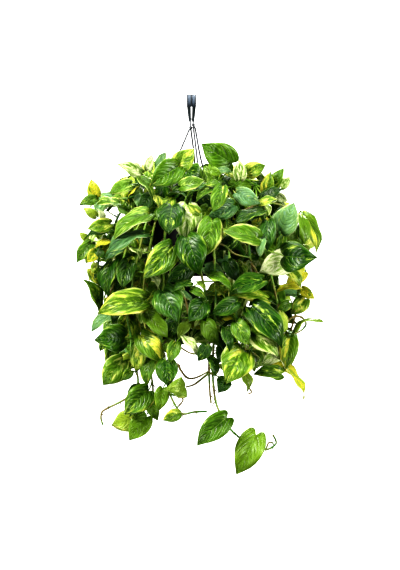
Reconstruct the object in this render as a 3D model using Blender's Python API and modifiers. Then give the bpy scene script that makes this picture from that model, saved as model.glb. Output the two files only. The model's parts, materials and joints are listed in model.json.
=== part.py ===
"""Golden pothos in a black hanging pot, in metres, +Z up.

The origin is the inside of the hanger's hook, where the plant hangs. The front faces -Y. Leaves that
face the front are set out on a front elevation: u runs right and v runs down, one step is GRID metres
at the hook's depth, and the elevation is drawn from a point 3 m in front. The others follow a rule.
"""

import math
import random
from collections import namedtuple

import bmesh
import bpy
from mathutils import Vector
from mathutils.bvhtree import BVHTree

# Front elevation
GRID = 0.0024
EYE = Vector((0.0204, -3.0, -0.4534))
MIDDLE_U, MIDDLE_V = 200.0, 285.0

# Pot
RIM_Z = -0.2818
POT_HEIGHT = 0.150
POT_TOP_RADIUS = 0.100
POT_BASE_RADIUS = 0.080
POT_WALL = 0.0022
POT_SIDES = 28
FLANGE_RADIUS = 0.109
FLANGE_THICK = 0.0026
STRAND_HOLE_RADIUS = 0.0024
STRAND_CIRCLE = 0.1045
DRAIN_CIRCLE = 0.052
DRAIN_RADIUS = 0.005

# Soil
SOIL_BELOW_RIM = 0.018
SOIL_Z = RIM_Z - SOIL_BELOW_RIM
STEM_DEPTH = 0.020
GAP = 0.0003

# Hanger
STRAP_WIDTH = 0.022
STRAP_THICK = 0.0034
HOOK_RADIUS = 0.009
LEG_TOP_Y = -(HOOK_RADIUS + STRAP_THICK / 2)
LEG_TOP_Z = -0.0245
LEG_FOOT_Z = -0.0610
STRAND_RADIUS = 0.0018
BEAD_RADIUS = 0.0041

# Stems and petioles
STEM_RADIUS = 0.0026
TIP_RADIUS = 0.0017
PETIOLE_RADIUS = 0.0014
END_RADIUS = 0.0004
PETIOLE_ROOM = 0.0017
PETIOLE_CLEARANCE = 0.0005
STEM_HOLE_RADIUS = 0.0036

# Blades
BLADE_THICK = 0.0010
BLADE_CLEARANCE = 0.0009
LEAST_RATIO = 0.62
MOST_RATIO = 0.88
ARCH = (0.02, 0.12)
FOLD = (0.10, 0.34)
FULL_OUTLINE = ((-0.12, 0.20), (0.08, 0.46), (0.42, 0.51), (0.75, 0.31))
FULL_RIB = (0.0, 0.26, 0.60)
SMALL_OUTLINE = ((-0.10, 0.26), (0.22, 0.52), (0.66, 0.37))
SMALL_RIB = (0.0, 0.42)
SMALL_BREADTH = 0.052

# Foliage
DOME_DEPTH = 0.80
LAYER_STEP = 0.17
STEM_INSET = 0.60
POT_BERTH = 0.119

# Left and right edge of the foliage on the front elevation, row by row
ENVELOPE = (
    (142, 205, 235),
    (150, 172, 238),
    (160, 150, 262),
    (170, 124, 284),
    (180, 112, 290),
    (200, 88, 290),
    (220, 88, 318),
    (240, 80, 321),
    (260, 80, 312),
    (280, 88, 305),
    (300, 92, 306),
    (320, 100, 303),
    (340, 100, 300),
    (360, 104, 298),
    (380, 104, 294),
    (400, 118, 284),
    (440, 125, 275),
    (475, 140, 270),
)

# Places on the front elevation where the view is open between the leaves: centre and radius
OPEN_VIEWS = ((113, 217, 9), (201, 281, 7), (251, 309, 6), (289, 281, 6), (94, 290, 5))
OPEN_POT_WALL = (168, 237, 13)
LOWEST_FILL_V = 345
HIGHEST_FILL_V = 158
DEEPER = 0.58

# Each leaf that faces the front: its base and its tip on the elevation, its breadth there, and how
# many layers of foliage lie in front of it
SeenLeaf = namedtuple("SeenLeaf", "base tip breadth layer")
CROWN_LEAVES = (
    SeenLeaf((232, 163), (202.5, 145.5), 27, 0),
    SeenLeaf((176, 167), (194.5, 150), 20, 0),
    SeenLeaf((178, 167), (150, 184), 25, 0),
    SeenLeaf((181, 186), (204.5, 181), 13, 0),
    SeenLeaf((141, 173), (119.5, 162.5), 13, 0),
    SeenLeaf((131, 184), (109, 192), 13, 0),
    SeenLeaf((141, 178), (153.5, 197), 10, 0),
    SeenLeaf((246, 173), (264.5, 164.5), 16, 0),
    SeenLeaf((240, 179), (240, 160), 13, 0),
    SeenLeaf((266, 193), (270, 172), 13, 0),
    SeenLeaf((272, 186), (283, 168.7), 12, 0),
    SeenLeaf((281, 187), (290, 177), 10, 1),
    SeenLeaf((277, 196), (287.5, 200.5), 9, 0),
    SeenLeaf((262, 200), (281, 187), 12, 1),
    SeenLeaf((260, 204), (277, 198), 8, 0),
    SeenLeaf((214, 186), (194.5, 198.5), 9, 0),
)
LEFT_LEAVES = (
    SeenLeaf((95.5, 197.5), (91, 180), 13, 0),
    SeenLeaf((96, 198.5), (79.5, 203.8), 10, 1),
    SeenLeaf((118, 203), (96, 201.5), 8, 0),
    SeenLeaf((96, 216), (84, 208), 9, 0),
    SeenLeaf((110, 224), (88, 228), 14, 0),
    SeenLeaf((113, 229), (84, 236), 10, 1),
    SeenLeaf((147, 214), (111, 237), 16, 0),
    SeenLeaf((142, 233), (105, 254), 12, 0),
    SeenLeaf((91, 243), (77, 262), 13, 0),
    SeenLeaf((96, 251), (88, 263), 11, 0),
    SeenLeaf((121, 248), (104, 257), 10, 1),
    SeenLeaf((100, 308), (87, 279), 11, 1),
    SeenLeaf((144, 301), (98, 311), 25, 0),
    SeenLeaf((113, 313), (91, 330), 12, 1),
    SeenLeaf((124, 338), (96, 338.5), 27, 0),
    SeenLeaf((123, 361), (103, 384), 25, 0),
    SeenLeaf((131, 371), (122, 380), 9, 0),
    SeenLeaf((112, 262), (104, 296), 16, 2),
    SeenLeaf((128, 262), (122, 288), 18, 2),
)
FRONT_LEAVES = (
    SeenLeaf((172, 206), (167.5, 232), 27, 0),
    SeenLeaf((188, 206), (184, 239), 28, 1),
    SeenLeaf((187, 238), (200, 272), 28, 0),
    SeenLeaf((172, 247), (146, 278), 25, 0),
    SeenLeaf((190, 268), (168, 284), 18, 1),
    SeenLeaf((190, 282), (171, 288), 7, 0),
    SeenLeaf((212, 221), (206, 256), 24, 0),
    SeenLeaf((233, 205), (209.5, 217.5), 18, 0),
    SeenLeaf((222, 187), (214, 212), 15, 1),
    SeenLeaf((237, 193), (259, 203), 17, 0),
    SeenLeaf((262, 210), (233, 220), 10, 0),
    SeenLeaf((258, 238), (223, 231), 18, 0),
    SeenLeaf((236, 238), (219, 250), 14, 1),
    SeenLeaf((211, 275), (232, 287.5), 9, 0),
    SeenLeaf((262, 280), (229, 291), 18, 0),
    SeenLeaf((266, 298), (229, 293), 14, 1),
    SeenLeaf((236, 302), (212, 315), 16, 0),
    SeenLeaf((203, 303), (190, 322), 20, 0),
    SeenLeaf((163, 291), (178, 319.5), 29, 0),
    SeenLeaf((188, 323), (177, 337), 10, 1),
    SeenLeaf((206, 322), (216, 345), 16, 1),
    SeenLeaf((272, 296), (248, 303), 12, 2),
)
RIGHT_LEAVES = (
    SeenLeaf((281, 230), (294, 203.5), 24, 0),
    SeenLeaf((279, 228), (280, 208), 16, 1),
    SeenLeaf((303, 215), (321, 250), 15, 0),
    SeenLeaf((303, 218), (304.5, 243.5), 11, 1),
    SeenLeaf((268, 222), (268, 250), 16, 0),
    SeenLeaf((262, 240), (260, 257), 9, 0),
    SeenLeaf((292, 258), (259.5, 270.5), 25, 0),
    SeenLeaf((284, 256), (314, 259), 29, 1),
    SeenLeaf((283, 236), (280, 252), 9, 1),
    SeenLeaf((304, 272), (286, 285), 14, 0),
    SeenLeaf((302, 289), (314, 299), 10, 0),
    SeenLeaf((305, 299), (293, 314), 16, 0),
    SeenLeaf((300, 288), (277, 290), 6, 0),
    SeenLeaf((292, 334), (318, 315.5), 4, 0),
    SeenLeaf((282, 313), (284, 334), 8, 0),
    SeenLeaf((264, 307), (280, 327), 10, 0),
    SeenLeaf((253, 308), (285, 344), 26, 1),
    SeenLeaf((249, 330), (280, 353.5), 20, 0),
    SeenLeaf((290, 337), (286, 368), 19, 0),
    SeenLeaf((281, 373.5), (255, 371.5), 14, 0),
    SeenLeaf((288, 369), (307.5, 395.5), 8, 0),
)
LOWER_LEAVES = (
    SeenLeaf((141, 335), (163, 361), 22, 0),
    SeenLeaf((148, 314), (168, 336), 16, 0),
    SeenLeaf((176, 343), (169, 362), 13, 0),
    SeenLeaf((166, 361), (168, 385), 21, 0),
    SeenLeaf((185, 387), (170, 388.5), 20, 0),
    SeenLeaf((163, 389), (159, 410), 14, 0),
    SeenLeaf((148, 391), (124, 413), 24, 0),
    SeenLeaf((148, 404), (129, 416), 10, 1),
    SeenLeaf((150, 402), (157, 420), 12, 1),
    SeenLeaf((135, 418), (112, 426), 21, 0),
    SeenLeaf((146, 417), (129, 440), 20, 1),
    SeenLeaf((179, 413), (163, 420), 12, 0),
    SeenLeaf((184, 337), (199, 352), 8, 0),
    SeenLeaf((207, 346), (199, 361), 13, 0),
    SeenLeaf((211, 358), (216, 377), 9, 0),
    SeenLeaf((226, 329), (231, 350), 12, 0),
    SeenLeaf((237, 323), (248, 345), 17, 0),
    SeenLeaf((243, 351), (226, 381), 32, 0),
    SeenLeaf((226, 379), (219, 391.5), 15, 1),
    SeenLeaf((243, 371), (249, 391.5), 9, 1),
    SeenLeaf((226.5, 418), (196.5, 443), 23, 0),
    SeenLeaf((256, 435), (237.5, 474), 27, 0),
)
SEEN_LEAVES = CROWN_LEAVES + LEFT_LEAVES + FRONT_LEAVES + RIGHT_LEAVES + LOWER_LEAVES

# Stems of the crown: where each leaves the soil (radius in metres, bearing in degrees) and the points
# of the elevation it rises through, each with its depth
CROWN_STEMS = {
    "crown_1": ((0.034, 205), ((178, 200, -0.030), (168, 186, -0.040), (161, 177, -0.046))),
    "crown_2": ((0.032, 110), ((187, 196, 0.012), (186, 180, 0.016), (185, 168, 0.010))),
    "crown_3": ((0.020, 320), ((203, 196, -0.020), (216, 182, -0.022), (227, 174, -0.022))),
    "crown_4": ((0.044, 350), ((224, 200, -0.020), (244, 190, -0.026), (257, 184, -0.030))),
    "crown_5": ((0.038, 55), ((210, 198, 0.044), (222, 184, 0.056), (231, 176, 0.062))),
    "crown_6": ((0.040, 265), ((196, 202, -0.052), (203, 193, -0.064), (208, 189, -0.070))),
    "crown_7": ((0.044, 160), ((160, 198, 0.010), (144, 186, 0.006), (133, 178, 0.004))),
}

# Stems that trail over the rim and are seen from the front: how far from the pot's axis each leaves
# the soil, and the points of the elevation it hangs through
TRAILING_STEMS = {
    "left_1": (0.060, ((128, 198), (114, 199), (103, 200))),
    "left_2": (0.076, ((134, 214), (116, 228), (103, 243), (99, 256), (98, 268))),
    "left_3": (0.056, ((141, 222), (128, 246), (118, 276), (107, 300), (110, 314))),
    "front_1": (0.078, ((147, 222), (137, 262), (131, 292), (127, 314), (131, 338), (131, 352),
                        (135, 366), (138, 380), (135, 392), (122, 401), (108, 408), (102, 412),
                        (101, 419), (103, 425))),
    "front_2": (0.058, ((157, 218), (148, 258), (143, 296), (144, 320), (149, 345), (151, 372),
                        (153, 392), (150, 408))),
    "front_3": (0.080, ((167, 214), (164, 252), (163, 290), (160, 320), (161, 346), (164, 370),
                        (170, 394), (177, 408), (183, 414), (194, 412), (207, 411.5))),
    "front_4": (0.060, ((180, 214), (181, 252), (184, 290), (189, 318), (188, 334))),
    "front_5": (0.080, ((189, 212), (196, 250), (205, 292), (209, 330), (209, 366), (209.5, 388),
                        (211, 403))),
    "front_6": (0.058, ((211, 212), (214, 252), (216, 292), (214, 334), (212.6, 374), (214.8, 397),
                        (219, 411), (229, 427.5), (240, 438), (252, 446), (266, 449.5),
                        (275, 445), (276, 441), (273, 435))),
    "front_7": (0.080, ((225, 214), (229, 252), (233, 292), (238, 322), (246, 350), (246, 372))),
    "right_1": (0.060, ((240, 212), (247, 236), (251, 262), (256, 286), (262, 306))),
    "right_2": (0.080, ((250, 208), (262, 218), (263, 234), (268, 262), (276, 296), (283, 330),
                        (284, 352), (287, 369))),
    "right_3": (0.060, ((258, 204), (276, 226), (287, 250), (299, 278), (298, 292), (296, 312),
                        (291, 330))),
    "right_4": (0.076, ((272, 203), (284, 206), (294, 211), (303, 218))),
}

# Stems that trail over the sides and the back: bearing, reach and drop below the rim
BACK_STEMS = {
    "back_1": (0.060, 14, 0.230, 0.130),
    "back_2": (0.078, 35, 0.205, 0.245),
    "back_3": (0.058, 54, 0.220, 0.150),
    "back_4": (0.078, 71, 0.185, 0.285),
    "back_5": (0.056, 86, 0.215, 0.135),
    "back_6": (0.078, 107, 0.190, 0.265),
    "back_7": (0.058, 127, 0.220, 0.155),
    "back_8": (0.078, 147, 0.200, 0.250),
    "back_9": (0.060, 168, 0.230, 0.130),
}

# Leaves placed by rule
FILL_SEED = 11
FILL_SPACING = 0.032
FILL_TRIES = 30
FILL_LENGTH = (0.060, 0.098)
FILL_RATIO = (0.70, 0.82)
FILL_PETIOLE = (0.040, 0.080)
FARTHEST_OUT = 0.285
CROWN_SEED = 5
CROWN_FILL = 13
CROWN_TRIES = 400

Leaf = namedtuple("Leaf", "base tip normal width arch fold")
Petiole = namedtuple("Petiole", "root knee end")


def on_view(u, v, depth):
    """The point that the elevation shows at u, v, at a given depth behind the hook's plane."""
    reach = (depth - EYE.y) / -EYE.y
    return Vector((EYE.x + (u - MIDDLE_U) * GRID * reach, depth, EYE.z + (MIDDLE_V - v) * GRID * reach))


def view_of(point):
    """Where the elevation shows a point."""
    step = GRID * (point.y - EYE.y) / -EYE.y
    return MIDDLE_U + (point.x - EYE.x) / step, MIDDLE_V - (point.z - EYE.z) / step


def envelope_row(v):
    """Left and right edge of the foliage at height v."""
    if v <= ENVELOPE[0][0]:
        return ENVELOPE[0][1:]
    for (v0, left0, right0), (v1, left1, right1) in zip(ENVELOPE, ENVELOPE[1:]):
        if v <= v1:
            part = (v - v0) / (v1 - v0)
            return left0 + part * (left1 - left0), right0 + part * (right1 - right0)
    return ENVELOPE[-1][1:]


def dome_depth(u, v):
    """Depth of the foliage's front at u, v."""
    left, right = envelope_row(v)
    half = (right - left) / 2
    off = (u - (left + right) / 2) / half
    return -DOME_DEPTH * GRID * half * math.sqrt(max(0.03, 1 - off * off))


def polar(radius, degrees, z):
    angle = math.radians(degrees)
    return Vector((radius * math.cos(angle), radius * math.sin(angle), z))


def smooth_path(points, step):
    """Points about one step apart on a smooth curve through the given ones."""
    ends = [2 * points[0] - points[1], *points, 2 * points[-1] - points[-2]]
    path = [points[0]]
    for before, start, end, after in zip(ends, ends[1:], ends[2:], ends[3:]):
        count = max(1, round((end - start).length / step))
        for i in range(1, count + 1):
            t = i / count
            path.append(0.5 * (2 * start + (end - before) * t
                               + (2 * before - 5 * start + 4 * end - after) * t * t
                               + (3 * start - before - 3 * end + after) * t ** 3))
    return path


def tube(path, radius, sides):
    """Vertices and faces of a closed tube along a path."""
    vertices, faces = [], []
    side = None
    for i, point in enumerate(path):
        along = (path[min(i + 1, len(path) - 1)] - path[max(i - 1, 0)]).normalized()
        if side is None:
            side = along.orthogonal().normalized()
        side = (side - along * side.dot(along)).normalized()
        over = along.cross(side)
        for k in range(sides):
            angle = 2 * math.pi * k / sides
            vertices.append(point + radius * (side * math.cos(angle) + over * math.sin(angle)))
    for i in range(len(path) - 1):
        for k in range(sides):
            a, b = i * sides + k, i * sides + (k + 1) % sides
            faces.append((a, b, b + sides, a + sides))
    last = (len(path) - 1) * sides
    faces.append(tuple(reversed(range(sides))))
    faces.append(tuple(range(last, last + sides)))
    return vertices, faces


def blade_surface(leaf, lift=0.0):
    """Vertices and triangles of a leaf blade's middle surface, raised by lift along its normal."""
    length = (leaf.tip - leaf.base).length
    along = (leaf.tip - leaf.base) / length
    side = leaf.normal.cross(along)
    small = leaf.width < SMALL_BREADTH
    outline, rib = (SMALL_OUTLINE, SMALL_RIB) if small else (FULL_OUTLINE, FULL_RIB)

    def point(s, w):
        rise = leaf.arch * length * 4 * s * (1 - s) + leaf.fold * leaf.width * abs(w)
        return leaf.base + along * (length * s) + side * (leaf.width * w) + leaf.normal * (rise + lift)

    vertices = [point(s, 0) for s in rib] + [leaf.tip + leaf.normal * lift]
    faces = []
    tip = len(rib)
    for way in (1, -1):
        first = len(vertices)
        vertices += [point(s, way * w) for s, w in outline]
        edge = list(range(first, len(vertices)))
        halves = [(0, edge[0], edge[1])]
        for i in range(1, len(rib)):
            halves.append((i - 1, edge[i], i))
            halves.append((i, edge[i], edge[i + 1]))
        halves.append((tip - 1, edge[-1], tip))
        faces += halves if way == -1 else [tuple(reversed(face)) for face in halves]
    return vertices, faces


def blade_hull(leaf, spare):
    """Both faces and the rim of a blade, a little apart, to test that it is clear of other pieces."""
    more = spare - BLADE_THICK / 2
    along = (leaf.tip - leaf.base).normalized()
    leaf = leaf._replace(tip=leaf.tip + along * more, width=leaf.width + 2 * more)
    over, faces = blade_surface(leaf, spare)
    under, _ = blade_surface(leaf, -spare)
    count = len(over)
    ribs = 2 if leaf.width < SMALL_BREADTH else 3
    half = (count - ribs - 1) // 2
    rim = []
    for first in (ribs + 1, ribs + 1 + half):
        loop = [0, *range(first, first + half), ribs]
        rim += [(a, b, b + count, a + count) for a, b in zip(loop, loop[1:])]
    return over + under, faces + [tuple(i + count for i in face) for face in faces] + rim


class Space:
    """What already stands in the plant, to keep each new piece clear of it."""

    def __init__(self):
        self.things = []

    def add(self, vertices, faces, vine, kind):
        low = Vector(min(v[i] for v in vertices) for i in range(3))
        high = Vector(max(v[i] for v in vertices) for i in range(3))
        self.things.append((low, high, BVHTree.FromPolygons(vertices, faces), vine, kind))

    def hit(self, vertices, faces, passes=None):
        """True if the shape touches anything, apart from what passes() lets it touch."""
        low = [min(v[i] for v in vertices) for i in range(3)]
        high = [max(v[i] for v in vertices) for i in range(3)]
        tree = None
        for thing_low, thing_high, thing_tree, vine, kind in self.things:
            if any(low[i] > thing_high[i] or high[i] < thing_low[i] for i in range(3)):
                continue
            if passes and passes(vine, kind):
                continue
            tree = tree or BVHTree.FromPolygons(vertices, faces)
            if thing_tree.overlap(tree):
                return True
        return False


def lathe(profile, sides):
    """Vertices and faces of a turned surface, for tests of clearance."""
    vertices = [polar(r, 360 * k / sides, z) for r, z in profile for k in range(sides)]
    faces = []
    for i in range(len(profile) - 1):
        for k in range(sides):
            a, b = i * sides + k, i * sides + (k + 1) % sides
            faces.append((a, b, b + sides, a + sides))
    return vertices, faces


def strand_paths():
    """Top to bottom, the four strands from the hanger's beads to the rim's holes."""
    right_bead, left_bead = Vector((0.0043, 0.0, -0.0690)), Vector((-0.0017, 0.0, -0.0760))
    bends = {
        "strand_left": (left_bead, 184, (-3.6, -0.9, -5.6), ((181.4, 148, -0.006), (168, 178, -0.008))),
        "strand_back": (left_bead, 94, (0.5, 3.9, -5.0), ((194.6, 161, 0.044), (194.4, 186, 0.076))),
        "strand_front": (right_bead, 274, (0.2, -4.2, -5.0), ((197.6, 163, -0.046), (199.6, 188, -0.078))),
        "strand_right": (right_bead, 4, (3.0, 1.2, -5.2), ((202.4, 165, 0.003), (214, 190, 0.006))),
    }
    paths = {}
    for name, (bead, bearing, start, points) in bends.items():
        start = Vector(start).normalized()
        top = bead + start * (BEAD_RADIUS + GAP)
        hole = polar(STRAND_CIRCLE, bearing, RIM_Z)
        points = [top, top + start * 0.005, *(on_view(*point) for point in points),
                  hole + Vector((0, 0, 0.008)), hole - Vector((0, 0, FLANGE_THICK + 0.0012))]
        paths[name] = smooth_path(points, 0.030)
    return paths


def clear_of_pot(point):
    """The point, moved straight out from the pot's axis until it clears the wall and the rim."""
    flat = Vector((point.x, point.y, 0))
    if point.z > RIM_Z + 0.012 or point.z < RIM_Z - POT_HEIGHT - 0.012 or flat.length > POT_BERTH:
        return point
    flat = flat.normalized() * POT_BERTH
    return Vector((flat.x, flat.y, point.z))


def rooted(radius, bearing):
    """The two lowest points of a stem: the foot of its hole and the surface of the soil."""
    foot = polar(radius, bearing, SOIL_Z - STEM_DEPTH + GAP)
    return [foot, Vector((foot.x, foot.y, SOIL_Z + 0.006))]


def stem_paths():
    """Every stem's path, foot to tip."""
    paths = {}
    for name, ((radius, bearing), points) in CROWN_STEMS.items():
        foot, top = rooted(radius, bearing)
        paths[name] = [foot] + smooth_path([top, *(on_view(*point) for point in points)], 0.030)
    for name, (radius, points) in TRAILING_STEMS.items():
        hang = [clear_of_pot(on_view(u, v, STEM_INSET * dome_depth(u, v))) for u, v in points]
        out = Vector((hang[0].x, hang[0].y, 0))
        foot, top = rooted(radius, math.degrees(math.atan2(out.y, out.x)))
        crest = out.normalized() * 0.102 + Vector((0, 0, max(RIM_Z + 0.018, hang[0].z + 0.008)))
        paths[name] = [foot] + smooth_path([top, crest, *hang], 0.044)
    for name, (radius, bearing, reach, drop) in BACK_STEMS.items():
        foot, top = rooted(radius, bearing)
        rim = polar(0.102, bearing, RIM_Z + 0.024)
        shoulder = polar(0.62 * reach + 0.03, bearing + 2, RIM_Z + 0.006)
        widest = polar(0.86 * reach, bearing - 3, RIM_Z - 0.45 * drop)
        tip = polar(0.80 * reach, bearing + 3, RIM_Z - drop)
        paths[name] = [foot] + smooth_path([top, rim, shoulder, widest, tip], 0.042)
    return paths


def seen_leaf(row, shift):
    """A leaf that shows on the elevation as its row says, shifted in depth."""
    (u0, v0), (u1, v1) = row.base, row.tip
    depth = dome_depth(u0, v0) * (1 - LAYER_STEP * row.layer) + shift
    base = on_view(u0, v0, depth)
    shown = (on_view(u1, v1, depth) - base).length
    breadth = row.breadth * GRID
    width = max(breadth, LEAST_RATIO * shown)
    length = max(1.03 * shown, width / MOST_RATIO)
    tip = on_view(u1, v1, depth - math.sqrt(length ** 2 - shown ** 2))
    along = (tip - base).normalized()
    facing = EYE - base
    facing = (facing - along * facing.dot(along)).normalized()
    side = along.cross(facing)
    turn = math.acos(min(1.0, breadth / width)) * (1 if side.z >= 0 else -1)
    normal = facing * math.cos(turn) + side * math.sin(turn)
    rng = random.Random(round(100 * u0 + v0))
    return Leaf(base, tip, normal, width, rng.uniform(*ARCH), rng.uniform(*FOLD))


def petiole_end(leaf):
    """Where a petiole ends inside the blade, a little way along its rib."""
    part = (SMALL_RIB if leaf.width < SMALL_BREADTH else FULL_RIB)[1]
    reach = leaf.tip - leaf.base
    rib = reach * part + leaf.normal * (leaf.arch * reach.length * 4 * part * (1 - part))
    return leaf.base + rib.normalized() * 0.008


def petiole_to(leaf, stems, space, reach, family=""):
    """The shortest clear petiole from a stem of a family to a leaf, with the stem's name, or None."""
    end = petiole_end(leaf)
    along = (leaf.tip - leaf.base).normalized()
    roots = []
    for name, path in stems.items():
        if not name.startswith(family):
            continue
        for start, stop in zip(path[2:], path[3:]):
            for part in (0.0, 0.5):
                root = start.lerp(stop, part)
                far = (root - end).length
                if 0.012 < far < reach:
                    roots.append((far, name, root))
        far = (path[-1] - end).length
        if 0.012 < far < reach:
            roots.append((far, name, path[-1].lerp(path[-2], 0.15)))
    roots.sort(key=lambda item: item[0])
    for far, name, root in roots[:60]:
        for back, under in ((0.24, 0.22), (0.34, 0.12), (0.12, 0.40), (0.45, 0.05), (0.30, -0.10)):
            knee = end - along * (back * far) - leaf.normal * (under * far)
            petiole = Petiole(root, knee.lerp(root, 0.25), end)
            shape = tube(petiole, PETIOLE_ROOM + PETIOLE_CLEARANCE, 6)
            if not space.hit(*shape, lambda vine, kind: kind == "soil" or vine == name and kind != "blade"):
                return name, petiole
    return None


def open_to_view(leaf):
    """True if a leaf placed by rule stays out of the views that are open from the front."""
    for point in blade_surface(leaf)[0]:
        u, v = view_of(point)
        left, right = envelope_row(v)
        if not HIGHEST_FILL_V < v < LOWEST_FILL_V or not left < u < right:
            return False
        if point.y < DEEPER * dome_depth(u, v):
            return False
    u, v = view_of(leaf.base.lerp(leaf.tip, 0.45))
    views = OPEN_VIEWS + ((OPEN_POT_WALL,) if leaf.base.y < 0 else ())
    return all(math.hypot(u - cu, v - cv) > radius + 14 for cu, cv, radius in views)


def ruled_leaf(node, outward, turn, rng):
    """A leaf on a short petiole at one node of a stem, drooping outwards."""
    heading = Vector((math.cos(outward + turn), math.sin(outward + turn), 0))
    rise = rng.uniform(0.15, 0.9)
    out = (heading + Vector((0, 0, rise))).normalized()
    base = node + out * rng.uniform(*FILL_PETIOLE)
    droop = rng.uniform(-1.5, 0.15)
    along = (heading + Vector((rng.uniform(-0.35, 0.35), rng.uniform(-0.35, 0.35), droop))).normalized()
    length = rng.uniform(*FILL_LENGTH)
    normal = heading * rng.uniform(0.2, 0.8) + Vector((0, 0, rng.uniform(0.6, 1.2)))
    normal = (normal - along * normal.dot(along)).normalized()
    width = length * rng.uniform(*FILL_RATIO)
    leaf = Leaf(base, base + along * length, normal, width, rng.uniform(0.02, 0.09), rng.uniform(0.05, 0.25))
    end = petiole_end(leaf)
    knee = node.lerp(end, 0.55) + Vector((0, 0, 0.10 * (end - node).length))
    return leaf, Petiole(node, knee, end)


def crown_leaf(rng):
    """A leaf over the pot, facing up and a little outwards."""
    bearing = rng.uniform(0, 360)
    base = polar(rng.uniform(0.015, 0.105), bearing, RIM_Z + rng.uniform(0.030, 0.105))
    angle = math.radians(bearing + rng.uniform(-70, 70))
    heading = Vector((math.cos(angle), math.sin(angle), 0))
    along = (heading + Vector((0, 0, rng.uniform(-0.7, 0.2)))).normalized()
    normal = heading * rng.uniform(0.0, 0.4) + Vector((rng.uniform(-0.3, 0.3), rng.uniform(-0.3, 0.3), 1))
    normal = (normal - along * normal.dot(along)).normalized()
    length = rng.uniform(*FILL_LENGTH)
    width = length * rng.uniform(*FILL_RATIO)
    return Leaf(base, base + along * length, normal, width, rng.uniform(0.02, 0.08), rng.uniform(0.05, 0.25))


def stem_radii(path):
    """A stem's radius at each point, thinner towards its tip."""
    last = len(path) - 1
    return [STEM_RADIUS + (TIP_RADIUS - STEM_RADIUS) * (i / last) ** 2 for i in range(last + 1)]


def planned_foliage():
    """Each vine's path, leaves and petioles, with every piece clear of the other vines' pieces."""
    space = Space()
    wall = [(POT_BASE_RADIUS + 0.001, RIM_Z - POT_HEIGHT), (POT_TOP_RADIUS + 0.001, RIM_Z),
            (FLANGE_RADIUS + 0.001, RIM_Z - FLANGE_THICK), (FLANGE_RADIUS + 0.001, RIM_Z + 0.001),
            (POT_TOP_RADIUS - POT_WALL - 0.001, RIM_Z + 0.001),
            (POT_TOP_RADIUS - POT_WALL - 0.003, SOIL_Z)]
    space.add(*lathe(wall, POT_SIDES), None, "pot")
    base = [(0.0, RIM_Z - POT_HEIGHT), (POT_BASE_RADIUS, RIM_Z - POT_HEIGHT)]
    space.add(*lathe(base, POT_SIDES), None, "pot")
    space.add(*lathe([(0.0, SOIL_Z + 0.001), (POT_TOP_RADIUS, SOIL_Z + 0.001)], 12), None, "soil")
    for path in strand_paths().values():
        space.add(*tube(path, STRAND_RADIUS + 0.0004, 5), None, "strand")
    hanger = [Vector((0, 0, 0.004)), Vector((0, 0, -0.080))]
    space.add(*tube(hanger, 0.018, 6), None, "hanger")
    stems = stem_paths()
    for name, path in stems.items():
        space.add(*tube(path, STEM_RADIUS, 6), name, "stem")
    leaves = {name: [] for name in stems}
    shifts = [0.0]
    for i in range(1, 13):
        shifts += [-0.008 * i, 0.008 * i]

    def settled(leaf, family, reach):
        """Adds a leaf with a clear petiole from a stem of the family, if there is one."""
        if space.hit(*blade_hull(leaf, BLADE_THICK / 2 + BLADE_CLEARANCE)):
            return False
        found = petiole_to(leaf, stems, space, reach, family)
        if not found:
            return False
        name, petiole = found
        leaves[name].append((leaf, petiole))
        space.add(*blade_hull(leaf, BLADE_THICK / 2), name, "blade")
        space.add(*tube(petiole, PETIOLE_ROOM, 6), name, "petiole")
        return True

    for row in SEEN_LEAVES:
        family = "crown" if row in CROWN_LEAVES else ""
        if not any(settled(seen_leaf(row, shift), family, 0.19) for shift in shifts):
            any(settled(seen_leaf(row, shift), "", 0.24) for shift in shifts)

    rng = random.Random(CROWN_SEED)
    placed_leaves = 0
    for _ in range(CROWN_TRIES):
        if placed_leaves == CROWN_FILL:
            break
        leaf = crown_leaf(rng)
        if open_to_view(leaf) and settled(leaf, "crown", 0.13):
            placed_leaves += 1

    rng = random.Random(FILL_SEED)
    for name, path in stems.items():
        side = 1
        way = 0.0
        for before, node in zip(path[2:], path[3:]):
            way += (node - before).length
            if way < FILL_SPACING or node.z < on_view(0, LOWEST_FILL_V, node.y).z:
                continue
            way = 0.0
            side = -side
            outward = math.atan2(node.y, node.x)
            for _ in range(FILL_TRIES):
                turn = side * rng.uniform(0.1, 1.5)
                leaf, petiole = ruled_leaf(node, outward, turn, rng)
                if math.hypot(leaf.tip.x, leaf.tip.y) > FARTHEST_OUT or not open_to_view(leaf):
                    continue
                if space.hit(*blade_hull(leaf, BLADE_THICK / 2 + BLADE_CLEARANCE)):
                    continue
                stalk = tube(petiole, PETIOLE_ROOM + PETIOLE_CLEARANCE, 6)
                if space.hit(*stalk, lambda vine, kind: vine == name and kind != "blade"):
                    continue
                leaves[name].append((leaf, petiole))
                space.add(*blade_hull(leaf, BLADE_THICK / 2), name, "blade")
                space.add(*tube(petiole, PETIOLE_ROOM, 6), name, "petiole")
                break
    return stems, leaves


def principled(name, colour, roughness):
    material = bpy.data.materials.new(name)
    material.use_nodes = True
    shader = material.node_tree.nodes["Principled BSDF"]
    shader.inputs["Base Color"].default_value = (*colour, 1)
    shader.inputs["Roughness"].default_value = roughness
    return material


def placed(name, data, collection, material=None):
    """A new object for a mesh or a curve, in a collection."""
    piece = bpy.data.objects.new(name, data)
    collection.objects.link(piece)
    if material:
        data.materials.append(material)
    return piece


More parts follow.
